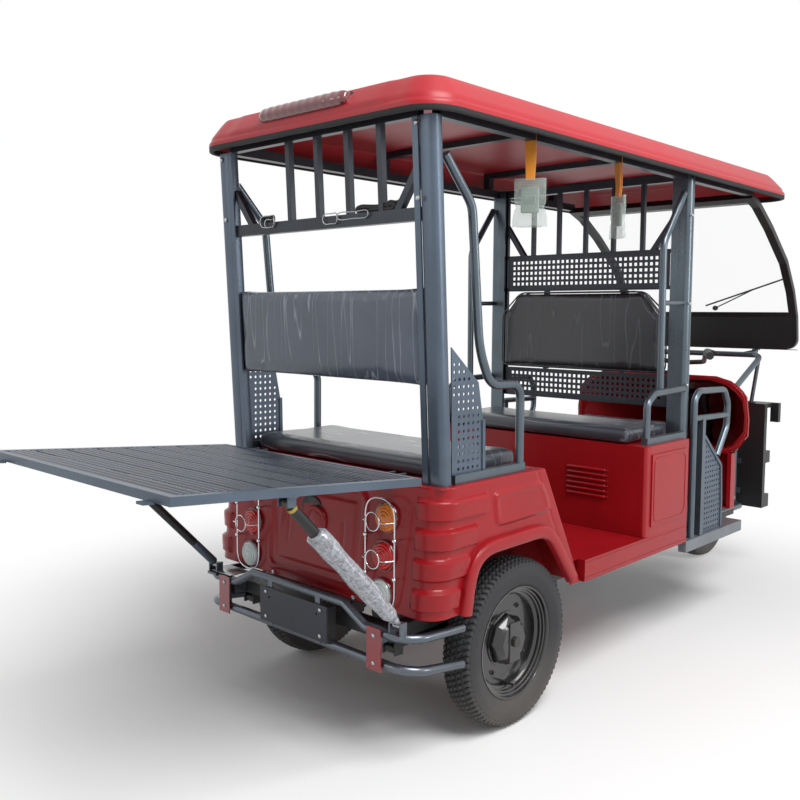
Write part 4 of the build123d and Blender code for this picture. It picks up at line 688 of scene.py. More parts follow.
def depth_in(y, z, corners):
    """Distance inside a convex polygon, negative outside it, with softened corners."""
    gaps = []
    for (y0, z0), (y1, z1) in zip(corners, corners[1:] + corners[:1]):
        length = math.hypot(y1 - y0, z1 - z0)
        gaps.append(((y - y0) * (z1 - z0) - (z - z0) * (y1 - y0)) / length)
    gaps = np.array(gaps)
    if gaps.mean() < 0:
        gaps = -gaps
    return -SOFT_CORNER * np.log(np.exp(-gaps / SOFT_CORNER).sum(0))


def body_plan(height):
    """The wall's (x, y) at one height, from wing to wing, and the outward direction of each point."""
    y_front, y_rear = front_y(height), rear_y(height)
    arc = np.radians(np.linspace(0, 90, 16))[1:-1]
    s = np.linspace(0, 1, SIDE_COLUMNS)
    side = np.column_stack([np.full(SIDE_COLUMNS, BODY_X), y_front + (y_rear + CORNER - y_front) * s])
    turn = np.column_stack([BODY_X - CORNER + CORNER * np.cos(arc), y_rear + CORNER - CORNER * np.sin(arc)])
    back = np.column_stack([(BODY_X - CORNER) * (1 - 2 * np.linspace(0, 1, BACK_COLUMNS)),
                            np.full(BACK_COLUMNS, y_rear)])
    plan = np.concatenate([side, turn, back, (turn * [-1, 1])[::-1], (side * [-1, 1])[::-1]])
    corner = np.column_stack([np.cos(arc), -np.sin(arc)])
    wing = np.tile([1.0, 0], (SIDE_COLUMNS, 1))
    normal = np.concatenate([wing, corner, np.tile([0, -1.0], (BACK_COLUMNS, 1)), (corner * [-1, 1])[::-1],
                             wing * [-1, 1]])
    return plan, normal


def pressings(plan, normal, height):
    """How far the sheet is pressed out at each point: laps, side panel and its line, rear border."""
    x, y = plan.T
    on_side = np.abs(normal[:, 0]) > 0.99
    on_rear = normal[:, 1] < -0.99
    out = np.zeros(len(plan))
    for top, rib_front in RIBS:
        v = top - height
        shape = step(v / RIB_STEP) * (RIB_OUT - 4.5 * step((v - RIB_STEP) / 46)) * step((RIB_H - v) / 3)
        out += shape * step((np.abs(x) - RIB_REACH) / 12) * step((rib_front - y) / 9)
    panel = depth_in(y, np.full(len(y), height), SIDE_PANEL)
    out += on_side * (6.5 * step(panel / 11) - 2.0 * step((panel - 14) / 12))
    from_edge = (front_y(height) - y) * 0.88
    out -= on_side * (height > 420) * 2.2 * np.exp(-((from_edge - 34) / 4) ** 2)
    q = np.stack([np.abs(x) - BORDER_HALF + BORDER_R,
                  np.full(len(x), abs(height - BORDER_Z) - BORDER_HIGH + BORDER_R)])
    rim_gap = np.hypot(*np.maximum(q, 0)) + np.minimum(q.max(0), 0) - BORDER_R
    out += on_rear * (BORDER_OUT * step((13 - np.abs(rim_gap)) / 7) + 3 * step((-rim_gap - 30) / 14))
    crease = np.exp(-((np.abs(x) - 118) / 5) ** 2)
    return out - on_rear * 2.5 * crease * step((60 - abs(height - 560)) / 20)


def body_skin():
    """Rows of height times columns along the plan, each point moved out by the pressings' height."""
    flat_top = BODY_TOP - EDGE_R
    heights = np.unique(np.concatenate([np.arange(362, flat_top, ROW_PITCH), [BODY_LOW, flat_top]]))
    edge = np.linspace(0, np.pi / 2, 5)[1:]
    levels = [(height, 0.0) for height in heights]
    levels += [(flat_top + EDGE_R * math.sin(a), EDGE_R * (1 - math.cos(a))) for a in edge]
    levels += [(BODY_TOP - 0.1, 30.0)]
    rows = []
    for height, draw in levels:
        plan, normal = body_plan(height)
        out = pressings(plan, normal, height) if draw == 0 else 0.0
        plan = plan + normal * np.reshape(out - draw, (-1, 1))
        rows.append(np.column_stack([plan, np.full(len(plan), height)]))
    points, faces = surface(np.array(rows))
    centre = np.array([points[face].mean(0) for face in faces])
    drop = (np.abs(centre[:, 0]) > BODY_X - 30) & inside(centre[:, 1], centre[:, 2], ARCH)
    drop |= (centre[:, 2] < BODY_LOW) & (centre[:, 1] < WING_REAR_Y)
    keep = [face for face, gone in zip(faces, drop) if not gone]
    used = np.unique(np.concatenate([np.array(face) for face in keep]))
    number = np.full(len(points), -1)
    number[used] = np.arange(len(used))
    return points[used], [[int(number[k]) for k in face] for face in keep]


def face_away(obj, centre):
    """Turn an open sheet's faces so that they look away from a point."""
    mesh = obj.data
    total = sum((Vector(p.center) - Vector(centre)).dot(p.normal) * p.area for p in mesh.polygons)
    if total < 0:
        mesh.flip_normals()


def prism(outline, x0, x1):
    """A (y, z) outline carried from x0 to x1, closed at both ends."""
    outline = np.asarray(outline, float)
    rows = [np.column_stack([np.full(len(outline), x), outline]) for x in (x0, x1)]
    return surface(np.array(rows), wrap_columns=True, caps=True)


skin = piece("body_skin", body_skin(), red_paint, smooth=32, closed=False, stands_for="rear_body")
face_away(skin, (0, AXLE_Y - 0.1, 0.55))
sheet = skin.modifiers.new("sheet", "SOLIDIFY")
sheet.thickness, sheet.offset, sheet.use_even_offset = 0.003, -1.0, True

# The top board, the riser under the seat, and on each side the wing's inner wall and its sloping front.
inner = [prism([(-352, 740), (101, 740), (101, 744.6), (-352, 744.6)], -462, 462),
         prism([(96, 402), (102.5, 402), (102.5, 742), (96, 742)], -349, 349)]
for side in (-1, 1):
    inner.append(prism([(98, 742), (102, 742), (302, 364), (98, 364)], side * 346, side * 349))
    inner.append(prism([(99, 742), (103, 742), (304, 364), (300, 364)], side * 346, side * 467))
piece("body_inner", joined(inner), red_paint, stands_for="rear_body")

arch_path = bend([(BODY_X, y, z) for y, z in ARCH[1:-1]], 58, steps=12)
flange = [(-19, -5), (-19, 13), (-17, 17), (-12, 19.5), (12, 19.5), (17, 17), (19, 13), (19, -5)]
piece("arch_flares", mirrored(carry(flange, arch_path, normal=(1, 0, 0))), red_paint, smooth=38,
      stands_for="rear_body")
print("body faces", made["body_skin"], "flare", made["arch_flares"])

# %% [markdown]
# ## Seats and their wrapping
# The pads are foam under vinyl, still in the clear wrapping they came in. The wrapping could be a sheet of
# its own, but most of it clings to the vinyl, so it is part of the finish: creases of noise, whiter and
# sharper than the vinyl below, and stretched one way, as the film was pulled. The whiter colour along the
# creases is partly the film's whitening at its folds and partly painted highlight.
# %% Pad finishes


def wrapped(name, colour, crease, stretch, amount=0.6, width=0.02, turn=0.0):
    """Vinyl in clear wrapping. A crease is where stretched noise crosses 0.5: 1 - |n - 0.5| / width; its
    lighter colour is partly whitened film and partly painted highlight.
    """
    material = paint(name, colour, rough=0.3, coat=0.4, coat_rough=0.2, drift=0.14)
    tree = material.node_tree
    shader = tree.nodes["Principled BSDF"]
    link = tree.links.new
    base = shader.inputs["Base Color"].links[0].from_socket
    where = node(tree, "ShaderNodeTexCoord").outputs["Object"]
    mapping = node(tree, "ShaderNodeMapping")
    mapping.inputs["Scale"].default_value = stretch
    mapping.inputs["Rotation"].default_value = (0, turn, 0)
    link(where, mapping.inputs["Vector"])
    noise = node(tree, "ShaderNodeTexNoise", Scale=1.0, Detail=0.6, Roughness=0.45)
    link(mapping.outputs[0], noise.inputs["Vector"])
    off = node(tree, "ShaderNodeMath", operation="SUBTRACT")
    off.inputs[1].default_value = 0.5
    link(noise.outputs["Fac"], off.inputs[0])
    gap = node(tree, "ShaderNodeMath", operation="ABSOLUTE")
    link(off.outputs[0], gap.inputs[0])
    line = node(tree, "ShaderNodeMapRange", From_Min=0.0, From_Max=width, To_Min=1.0, To_Max=0.0)
    link(gap.outputs[0], line.inputs["Value"])
    patch = node(tree, "ShaderNodeTexNoise", Scale=7.0, Detail=2.0)
    link(where, patch.inputs["Vector"])
    creased = node(tree, "ShaderNodeMapRange", From_Min=0.38, From_Max=0.62, To_Min=0.28, To_Max=amount)
    link(patch.outputs["Fac"], creased.inputs["Value"])
    both = node(tree, "ShaderNodeMath", operation="MULTIPLY")
    link(line.outputs["Result"], both.inputs[0])
    link(creased.outputs["Result"], both.inputs[1])
    # Along the creases a lighter colour is mixed in: partly the film's whitening at its folds, partly painted
    # highlight.
    crease_highlight_mix = node(tree, "ShaderNodeMix", data_type="RGBA")
    crease_highlight_mix.inputs[7].default_value = crease
    link(both.outputs[0], crease_highlight_mix.inputs[0])
    link(base, crease_highlight_mix.inputs[6])
    link(crease_highlight_mix.outputs[2], shader.inputs["Base Color"])
    bump = node(tree, "ShaderNodeBump", Strength=0.9, Distance=0.0025)
    link(both.outputs[0], bump.inputs["Height"])
    link(bump.outputs["Normal"], shader.inputs["Normal"])
    return material


# The second colour of each is the lighter crease colour: whitened film and painted highlight.
back_wrap = wrapped("back_wrap", rgb(78, 88, 104), rgb(166, 176, 190), (30.0, 30.0, 2.0), amount=0.85,
                    width=0.028, turn=0.14)
seat_wrap = wrapped("seat_wrap", rgb(54, 60, 68), rgb(176, 182, 188), (3.0, 26.0, 20.0))
bench_vinyl = wrapped("bench_vinyl", rgb(40, 42, 48), rgb(96, 100, 108), (22.0, 10.0, 2.4), turn=0.7)
print("wrapped finishes", back_wrap.name, seat_wrap.name, bench_vinyl.name)

# %% [markdown]
# Foam under a cover swells between its edges. It could be drawn as a bulge by formula, but a cloth that
# is blown up finds the right fullness at the corners by itself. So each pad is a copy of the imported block,
# drawn in a little, divided evenly and blown up by a cloth simulation with light pressure. How far a
# point may go is capped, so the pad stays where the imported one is.
# %% Pads blown up by cloth
# Finish, size of the divisions in metres, longest move in millimetres, and how full the pad is.
PADS = {"rear_backrest": (back_wrap, 0.007, 7, 0.8), "rear_cushion": (seat_wrap, 0.008, 9, 0.75),
        "bench_cushion": (seat_wrap, 0.008, 9, 0.75), "bench_backrest": (bench_vinyl, 0.007, 8, 0.75),
        "driver_seat": (bench_vinyl, 0.008, 9, 0.7)}
INSET, PRESSURE, SWELL_FRAMES, CROWN_OVER, QUICK_SWELL = 4.0, 4, 20, 0.002, 0.02


def coordinates(mesh):
    """All the mesh's points as one array."""
    flat = np.empty(len(mesh.vertices) * 3)
    mesh.vertices.foreach_get("co", flat)
    return flat.reshape(-1, 3)


def evaluated(obj):
    """The object's mesh with its modifiers applied."""
    graph = bpy.context.evaluated_depsgraph_get()
    graph.update()
    return bpy.data.meshes.new_from_object(obj.evaluated_get(graph))


def pad(node_name, material, voxel, cap, fill):
    """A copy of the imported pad, drawn in, evened out, blown up and held to the cap and the pad's box."""
    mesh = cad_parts[node_name].data.copy()
    work = bmesh.new()
    work.from_mesh(mesh)
    bmesh.ops.remove_doubles(work, verts=work.verts, dist=1e-5)
    work.to_mesh(mesh)
    work.free()
    low, high = (np.array(corner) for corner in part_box(node_name))
    middle, half = (low + high) / 2, (high - low) / 2
    drawn_in = middle + (coordinates(mesh) - middle) * (1 - INSET / 1000 / half)
    mesh.vertices.foreach_set("co", drawn_in.ravel())
    obj = bpy.data.objects.new(node_name + "_pad", mesh)
    bpy.context.collection.objects.link(obj)
    even = obj.modifiers.new("even", "REMESH")
    even.mode, even.voxel_size = "VOXEL", voxel
    mesh = evaluated(obj)
    obj.modifiers.clear()
    obj.data = mesh
    start = coordinates(mesh)
    cloth = obj.modifiers.new("swell", "CLOTH")
    cloth.settings.use_pressure = True
    cloth.settings.uniform_pressure_force = PRESSURE
    cloth.settings.effector_weights.gravity = 0
    cloth.point_cache.frame_start, cloth.point_cache.frame_end = 1, SWELL_FRAMES
    for number in range(1, SWELL_FRAMES + 1):
        bpy.context.scene.frame_set(number)
    end = coordinates(evaluated(obj))
    obj.modifiers.clear()
    bpy.context.scene.frame_set(1)
    move = end - start
    length = np.linalg.norm(move, axis=1, keepdims=True)
    end = start + move * np.minimum(1, cap / 1000 / np.maximum(length, 1e-9))
    end = np.clip(end, low, high + [0, 0, CROWN_OVER])
    mesh.vertices.foreach_set("co", end.ravel())
    mesh.materials.clear()
    mesh.materials.append(material)
    mesh.shade_smooth()
    finer = obj.modifiers.new("finer", "SUBSURF")
    finer.levels = finer.render_levels = 1
    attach(obj, "chassis")
    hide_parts(node_name)
    made[obj.name] = len(mesh.polygons)


for name, settings in PADS.items():
    pad(name, *settings)
print({name: made[name + "_pad"] for name in PADS})

# %% [markdown]
# A welt is sewn round the bench back's edge. It is a thin tube along the pad's outline, on both sides.
# The first bolts are made here too: a domed outline, turned. The rear posts have a few of them, under the
# roof and above the grille's bar.
# %% Welt and post bolts
BACK = np.array([0.0, -1.0, 0.0])
BOLT = [(-2, 7), (2, 7), (3.5, 5.5), (4.5, 3), (5, 0.4)]
WELT_R, WELT_Y = 3.2, (994.8, 1038.6)
welt_line = bend([(-366, 0, 984), (366, 0, 984), (366, 0, 1200), (275, 0, 1286), (-275, 0, 1286),
                  (-366, 0, 1200)], 26, closed=True)
welts = [tube(welt_line + (0, y, 0), WELT_R, sides=8, closed=True) for y in WELT_Y]
piece("bench_back_welt", joined(welts), bench_vinyl)


def bolts(name, places, axis=BACK, body="chassis", scale=1.0):
    """Domed bolt heads at the places, all looking along one axis."""
    parts = [turned(np.array(BOLT) * scale, at, axis=axis, sides=10) for at in places]
    piece(name, joined(parts), zinc, body)


bolts("post_bolts", [(398, -391, 1674), (407, -391, 1485), (-430, -392, 1671), (-425, -381, 1485)])
print("welt", made["bench_back_welt"])

# %% [markdown]
# ## Rear posts
# Each post is a wide drawn tube with a folded flange along its inner side. The soft highlight that runs
# down it comes from its round front, so it is an oval profile carried up the lean of the post.
# %% Oval posts
POST_MIDDLE, POST_HALF, POST_DEEP, POST_LOW, POST_HIGH = 426.0, 28.8, 22.9, 745.5, 1690.0
OVAL_POWER = 0.74
FLANGE = [(383, 0.2), (402, 0.2), (402, 5.8), (383, 5.8)]


def lean_y(z):
    """The posts lean: y of their rear face at height z."""
    return -336.0 - 0.058 * (z - 745.0)


def post(side):
    """The oval tube |x / a|^2.7 + |y / b|^2.7 = 1 and its flange, from the tub to the roof."""
    c, s = circle(1.0, 48).T
    oval = np.column_stack([POST_MIDDLE + POST_HALF * np.sign(c) * np.abs(c) ** OVAL_POWER,
                            POST_DEEP * (1 + np.sign(s) * np.abs(s) ** OVAL_POWER)])
    parts = []
    for outline in (oval, np.array(FLANGE)):
        rows = [np.column_stack([side * outline[:, 0], outline[:, 1] + lean_y(z), np.full(len(outline), z)])
                for z in (POST_LOW, POST_HIGH)]
        parts.append(surface(np.array(rows), wrap_columns=True, caps=True))
    return joined(parts)


piece("rear_post_tubes", joined([post(1), post(-1)]), frame_paint, smooth=30, stands_for="rear_posts")
print("post faces", made["rear_post_tubes"])

# %% [markdown]
# ## Carrier deck
# The deck is eight boards of folded sheet. Ribs along each board stiffen it, and they show as fine lines
# of light. A board's section is a row of shallow waves, and it is carried across the deck.
# %% Ribbed boards and their rivets
HINGE = np.array([0.0, -368.0, 757.0])
DECK_TILT = math.radians(4.5)
BOARD_X, BOARD_W, BOARD_PITCH, BOARD_FIRST, BOARDS = 404.0, 78.9, 87.9, -733.7, 8
SHEET, RIVET_Z = 1.6, 12.2


def on_carrier(points):
    """Carrier sizes (x, along, up) to drawing sizes: turned by the tilt about the hinge."""
    x, y, z = np.moveaxis(np.asarray(points, float), -1, 0)
    c, s = math.cos(DECK_TILT), math.sin(DECK_TILT)
    return HINGE + np.stack([x, y * c + z * s, -y * s + z * c], -1)


def board(start):
    """z = 13.2 + 1.8 cos(8 pi v) between two folded edges, with the sheet's underside a sheet below."""
    v = np.linspace(0, 1, 49)
    from_edge = np.minimum(v, 1 - v)
    top = 11.4 + 1.8 * np.minimum(1, from_edge / 0.05) + 1.8 * np.cos(2 * np.pi * 4 * v) * (from_edge > 0.08)
    line = np.column_stack([start + BOARD_W * v, top])
    outline = np.concatenate([line, line[::-1] - [0, SHEET]])
    rows = [np.column_stack([np.full(len(outline), x), outline]) for x in np.linspace(-BOARD_X, BOARD_X, 9)]
    return surface(on_carrier(np.array(rows)), wrap_columns=True, caps=True)


starts = [BOARD_FIRST + k * BOARD_PITCH for k in range(BOARDS)]
piece("deck_boards", joined([board(start) for start in starts]), deck_paint, "carrier", smooth=50,
      stands_for="carrier_deck")
spots = [on_carrier((x, start + BOARD_W * v, RIVET_Z))
         for start in starts for x in (-396, 0, 396) for v in (0.25, 0.75)]
bolts("deck_rivets", spots, (0, -math.sin(DECK_TILT), math.cos(DECK_TILT)), "carrier", scale=0.5)
print("deck faces", made["deck_boards"])

# %% [markdown]
# ## Tail lamps
# Three round lamps stand on each side: amber over red over white. A lens is one turned outline with
# ring steps, which break its highlight as the real prisms do, in a bezel of its own. The headlamps at the
# front are the same outlines, stretched. The guards are bent from wire, so they are tubes along bent lines.
# %% Lenses, bezels and wire guards
LAMP_X = 287.0
LAMP_AT = {"amber": (645.0, lens_amber), "red": (543.0, lens_red), "white": (442.0, lens_clear)}
LENS = [(-2, 38), (7, 38), (12, 36.5), (15, 33), (15.5, 30), (14, 28.5), (17, 27), (18, 22), (16.5, 20.5),
        (19, 19), (20, 13), (18.6, 11.5), (20.6, 10), (21.4, 5), (21.6, 0.3)]
BEZEL = [(-2, 43), (5, 43), (8, 41.5), (8.5, 39), (7, 37.6), (2, 37.4), (-2, 37.2)]
all_bezels = []
for colour, (z, material) in LAMP_AT.items():
    places = [np.array([side * LAMP_X, rear_y(z), z]) for side in (1, -1)]
    lenses = [turned(LENS, at, axis=BACK, sides=48) for at in places]
    piece("tail_lens_" + colour, joined(lenses), material, smooth=60, stands_for="tail_lamps")
    all_bezels += [turned(BEZEL, at, axis=BACK, sides=48) for at in places]
piece("tail_bezels", joined(all_bezels), lens_maroon)

# A guard is a frame on four legs with a washer each, and a ring on two arms before the upper two lamps.
GUARD_Y, RING_Y, GUARD_HALF, GUARD_LOW, GUARD_HIGH = -402.0, -430.0, 55.0, 397.0, 704.0
FRAME_R, WIRE_R, RING_R, LEG_UP = 2.4, 1.9, 25, (96, 200)
WASHER = [(-2, 6), (3, 6), (4.5, 4), (5, 0.4)]
wires = []
for side in (1, -1):
    x, y = side * (LAMP_X + 3), GUARD_Y
    left, right_side = x - GUARD_HALF, x + GUARD_HALF
    loop = bend([(left, y, GUARD_LOW), (right_side, y, GUARD_LOW), (right_side, y, GUARD_HIGH),
                 (left, y, GUARD_HIGH)], GUARD_HALF - 1, steps=14, closed=True)
    wires.append(tube(loop, FRAME_R, sides=10, closed=True))
    for z in (LAMP_AT["amber"][0], LAMP_AT["red"][0]):
        hoop_x, hoop_z = circle(RING_R, 40).T
        hoop = np.column_stack([x + hoop_x, np.full(40, RING_Y), z + hoop_z])
        wires.append(tube(hoop, WIRE_R, sides=8, closed=True))
        for way in (-1, 1):
            arm = [(x + way * (RING_R - 1), RING_Y, z), (x + way * 40, RING_Y, z),
                   (x + way * GUARD_HALF, y, z)]
            wires.append(tube(bend(arm, 12), WIRE_R, sides=8))
    for z in (GUARD_LOW + up_by for up_by in LEG_UP):
        for at in (left, right_side):
            wires.append(tube([(at, y, z), (at, rear_y(z) + 2, z)], FRAME_R, sides=8))
            wires.append(turned(WASHER, (at, y - 1, z), axis=BACK, sides=12))
piece("guard_wires", joined(wires), chrome, smooth=60, stands_for="lamp_guards")

HEADLAMP, SIDE_LAMP = (0, 2154, 735), (118, 2154, 690)
head_parts = [turned(np.array(LENS) * (0.95, 1.9), HEADLAMP, axis=-BACK, sides=64),
              turned(np.array(BEZEL) * (2.0, 1.8), HEADLAMP, axis=-BACK, sides=64)]
for side in (1, -1):
    head_parts.append(turned(np.array(LENS) * (0.7, 0.74), np.array(SIDE_LAMP) * (side, 1, 1), axis=-BACK,
                             sides=40))
piece("head_lenses", joined(head_parts), lens_clear, smooth=60, stands_for="headlamps")
print("lamps", made["tail_lens_amber"], "guards", made["guard_wires"])

# %% [markdown]
# ## Struts
# A gas strut holds the carrier up on each side. The right one still has its bubble wrap: a sleeve whose
# radius rises in rows of round bumps, each row turned half a step, and gathers in a knot near the foot.
# The left one has a grey leg at its lower end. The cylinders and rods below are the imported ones.
# %% Sleeve, ferrules and leg
STRUT_TOP = {side: np.array([side * 400.0, -808.4, 769.6]) for side in (1, -1)}
STRUT_FOOT = {side: np.array([side * 400.0, -443.0, 396.0]) for side in (1, -1)}
SLEEVE_FROM, SLEEVE_TO, BUBBLE_PITCH = 118, 512, 11
FERRULE = [(14, 8), (16, 13.4), (24, 13.4), (26, 13.0), (27, 0.3)]
GREY_LEG = [(404, 0.4), (404, 12.5), (408, 13), (505, 13), (508, 12), (508, 0.4)]


def strut_axis(side):
    """Unit direction from the strut's top pin to its foot."""
    return unit(STRUT_FOOT[side] - STRUT_TOP[side])


def sleeve():
    """Radius = wrap on the cylinder + (9.5 + 1.9 bump^2 + slow folds) * taper.

    bump is a product of two cosines that cross, and the taper gathers the wrap towards the foot.
    """
    along = np.linspace(SLEEVE_FROM, SLEEVE_TO, 330)
    a = np.linspace(0, 2 * np.pi, 96, endpoint=False)
    s, turn = np.meshgrid(along, a, indexing="ij")
    wave = s * 2 * np.pi / BUBBLE_PITCH
    bump = np.cos(wave + 4 * turn) * np.cos(wave - 4 * turn) * 0.5 + 0.5
    folds = 1.5 * np.sin(s / 37 + 2 * turn) + 0.9 * np.sin(s / 15 - 3 * turn)
    taper = step((s - SLEEVE_FROM) / 16) * (1 - 0.42 * step((s - 330) / 140))
    taper = taper * (1 - 0.5 * step((s - 470) / 18)) + 0.3 * step((s - 486) / 12)
    radius = 13.6 * step((520 - s) / 60) + 4 + (9.5 + 1.9 * bump ** 2 + folds) * taper
    axis = strut_axis(1)
    across = np.array([1.0, 0, 0])
    above = np.cross(axis, across)
    round_it = np.cos(turn)[..., None] * across * 1.15 + np.sin(turn)[..., None] * above * 0.85
    points = STRUT_TOP[1] + s[..., None] * axis + radius[..., None] * round_it
    return surface(points, wrap_columns=True, caps=True)


bubble = paint("bubble_wrap", rgb(150, 153, 160), rough=0.2, coat=0.6, drift=0.42, drift_scale=120,
               grain=0.0009, grain_scale=170)
piece("strut_sleeve", sleeve(), bubble, "cylinder_right", smooth=70)
for side, hand in ((1, "right"), (-1, "left")):
    ferrule = turned(FERRULE, STRUT_TOP[side], axis=strut_axis(side), sides=24)
    piece("strut_ferrule_" + hand, ferrule, brass, "cylinder_" + hand)
leg = turned(GREY_LEG, STRUT_TOP[-1], axis=strut_axis(-1), sides=28)
piece("strut_leg_left", leg, frame_paint, "rod_left")
piece("strut_foot_plate", slab((-410, -455, 376.5), (-309, -383, 379.5), edge=1.0), zinc)
print("sleeve faces", made["strut_sleeve"])

# %% [markdown]
# ## Hanging handles
# Two grab handles hang from the roof on orange webbing, each in a clear bag. The strap is a flat band
# with a small ripple, the handle a grey block of hard plastic, and the bag a loose tube of film whose
# lower edge flares.
# %% Straps, grips and bags
# Place seen from above, top of the strap, how far it is turned, and half the bag's width.
HANDLES = [((425.0, 67.0), 1727.0, math.radians(25), 48.0),
           ((428.0, 556.0), 1739.0, math.radians(-28), 40.0)]
GRIP_TOP, GRIP_LOW, STRAP_HALF, BAG_DEEP, BAG_SQUARE = 1586.0, 1446.0, 16, 7.5, 0.35
STRAP_OUTLINE = [(-1, 0), (1, 0), (1, 1.8), (-1, 1.8)]


def turned_about(part, centre, angle):
    """A part turned about the vertical and moved to centre."""
    c, s = math.cos(angle), math.sin(angle)
    points, faces = part
    return points @ np.array([[c, s, 0], [-s, c, 0], [0, 0, 1]]) + np.array([*centre, 0.0]), faces


def strap(top, near):
    """One band of webbing: narrower at the grip, with a ripple of 2 sin(z / 19)."""
    z = np.linspace(GRIP_TOP - 6, top - 4, 24)
    wave = 2.0 * np.sin((z - GRIP_TOP) / 19)
    wide = STRAP_HALF * (0.82 + 0.18 * step((z - GRIP_TOP) / 70))
    outline = [np.column_stack([sx * wide, wave + near + sy, z]) for sx, sy in STRAP_OUTLINE]
    return surface(np.stack(outline, 1), wrap_columns=True, caps=True)


def bag(half):
    """A squarish tube of film: a waist 0.6 of the way down, a flare below it, and folds round it."""
    v = np.linspace(0, 1, 48)[:, None]
    a = np.linspace(0, 2 * np.pi, 64, endpoint=False)[None]
    c, s = np.cos(a), np.sin(a)
    flare = 1 + 0.10 * step((v - 0.62) / 0.3) - 0.12 * np.exp(-((v - 0.60) / 0.06) ** 2)
    x = (half - 2) * flare * np.sign(c) * np.abs(c) ** BAG_SQUARE
    deep = BAG_DEEP + 1.0 * np.sin(5 * v + 3 * a)
    y = deep * np.sign(s) * np.abs(s) ** BAG_SQUARE * (1 + 0.08 * np.sin(9 * a + 14 * v))
    z = GRIP_TOP - 2 - (GRIP_TOP - GRIP_LOW - 4) * v + 2.5 * v * np.sin(3 * a)
    return surface(np.stack([x, y, z], -1), wrap_columns=True, caps=True)


straps, grips, bags = [], [], []
for centre, top, angle, half in HANDLES:
    grip = slab((-half * 0.55, -5, GRIP_LOW + 40), (half * 0.55, 5, GRIP_TOP - 26), edge=4)
    slot_bar = slab((-half * 0.4, -6.5, GRIP_LOW + 64), (half * 0.4, 6.5, GRIP_TOP - 48), edge=3)
    straps += [turned_about(strap(top, near), centre, angle) for near in (1.4, -4.4)]
    grips += [turned_about(part, centre, angle) for part in (grip, slot_bar)]
    bags.append(turned_about(bag(half), centre, angle))
# The bag's creases are painted whiter: partly the film's whitening, partly painted highlight.
bag_film = clear("bag_film", rgb(186, 200, 194), 0.34, rough=0.08, creases=0.6, crease_scale=26.0)
piece("handle_straps", joined(straps), strap_orange, smooth=60, stands_for="hanging_handles")
piece("handle_grips", joined(grips), grip_grey)
piece("handle_bags", joined(bags), bag_film, smooth=60)
print("handle bag faces", made["handle_bags"])

# %% [markdown]
# ## Small things on the rear
# The oval recess of the lock, the cap's ring, the rivets of the red markers and of the plate, and the rings
# of wire and the tape on the grille bar are what the eye meets on the way round the tub. They could be drawn
# into the paint, but real relief catches the light, so they are small turned pieces and tubes. The recess is
# a shallow black oval whose colour is painted shade, the dark inside of the recess.
# %% Painted-shade lock recess, cap ring, rivets and bolts
LOCK_X, LOCK_Z, LOCK_WIDER = -22, 632, 1.45
RECESS_SHADE_DISC = [(-3, 30), (1, 30), (2, 28), (0, 26), (-1, 0.4)]
CAP_RING = [(-3, 46), (4, 46), (8, 43), (8, 38), (4, 34), (3, 30), (5, 26), (6, 0.4)]
# A shallow black oval, 1.45 times wider than high, paints the shade inside the lock's recess.
recess_shade_points, recess_shade_faces = turned(RECESS_SHADE_DISC, (LOCK_X, rear_y(LOCK_Z) - 3, LOCK_Z), axis=BACK, sides=40)
recess_shade_points[:, 0] = LOCK_X + (recess_shade_points[:, 0] - LOCK_X) * LOCK_WIDER
piece("lock_recess_painted_shade", (recess_shade_points, recess_shade_faces), black_plastic)
piece("cap_ring", turned(CAP_RING, (4, rear_y(595) - 3, 590), axis=BACK, sides=40), red_paint)
piece("plate_flange", slab((147.2, -464.6, 285), (150, -432, 387), edge=0.6), chassis_black)
bolts("marker_rivets", [(side * 330, -464.2, z) for side in (1, -1) for z in (282, 356)], scale=0.8)
bolts("plate_rivets", [(x, -465.2, z) for x in (-120, 120) for z in (300, 374)], scale=0.8)
bolts("panel_bolts", [(x, rear_y(406) - 1, 406) for x in (-177, 177)], scale=0.9)


def loose_loop(centre, wide, high, radius=1.6):
    """An oval ring against the bar, a little wavy: z = high sin(a) + 3 sin(3 a)."""
    a = np.linspace(0, 2 * np.pi, 56, endpoint=False)
    x = centre[0] + wide * np.cos(a)
    z = centre[2] + high * np.sin(a) + 3 * np.sin(3 * a)
    y = centre[1] - 3 - 3 * np.cos(2 * a)
    return tube(np.column_stack([x, y, z]), radius, sides=8, closed=True)


rings_of_wire = [loose_loop((-222, -370, 1468), 34, 20), loose_loop((-214, -368, 1462), 22, 14),
                 loose_loop((60, -370, 1458), 30, 17), loose_loop((150, -369, 1462), 62, 12)]
piece("grille_wire_rings", joined(rings_of_wire), zinc, smooth=60)
lumps = [loose_loop((-232, -358, 1476), 24, 6, 6.5), loose_loop((230, -358, 1476), 70, 6, 7.0),
         loose_loop((300, -358, 1480), 24, 9, 5.0)]
piece("grille_tape", joined(lumps), rubber, smooth=60)
print("faces of the wire rings", made["grille_wire_rings"])

# %% [markdown]
# ## Bench box
# The box under the front bench is folded sheet. Its corner is rounded over, its side panel carries a
# pressed line near its edge, and six louvres let the battery breathe. They are half-round hoods, pressed
# outwards, and a row of them catches light along each top edge.
# %% Box corner, pressed line and louvres
CORNER_AT, CORNER_R = (467, 711), 12.5
LOUVRES, LOUVRE_LOW, LOUVRE_PITCH, LOUVRE_R = 6, 552.0, 19, 4.2
arc = np.radians(np.linspace(0, 90, 9))
corner_line = np.column_stack([CORNER_AT[0] + CORNER_R * np.sin(arc), CORNER_AT[1] - CORNER_R * np.cos(arc)])
corner_outline = np.concatenate([[(452, 699.2)], corner_line,
                                 [(479.5, 738), (466, 738), (466, 712), (452, 712)]])
corner_rows = [np.column_stack([corner_outline, np.full(len(corner_outline), z)]) for z in (430.5, 743.5)]
box_parts = [surface(np.array(corner_rows), wrap_columns=True, caps=True)]
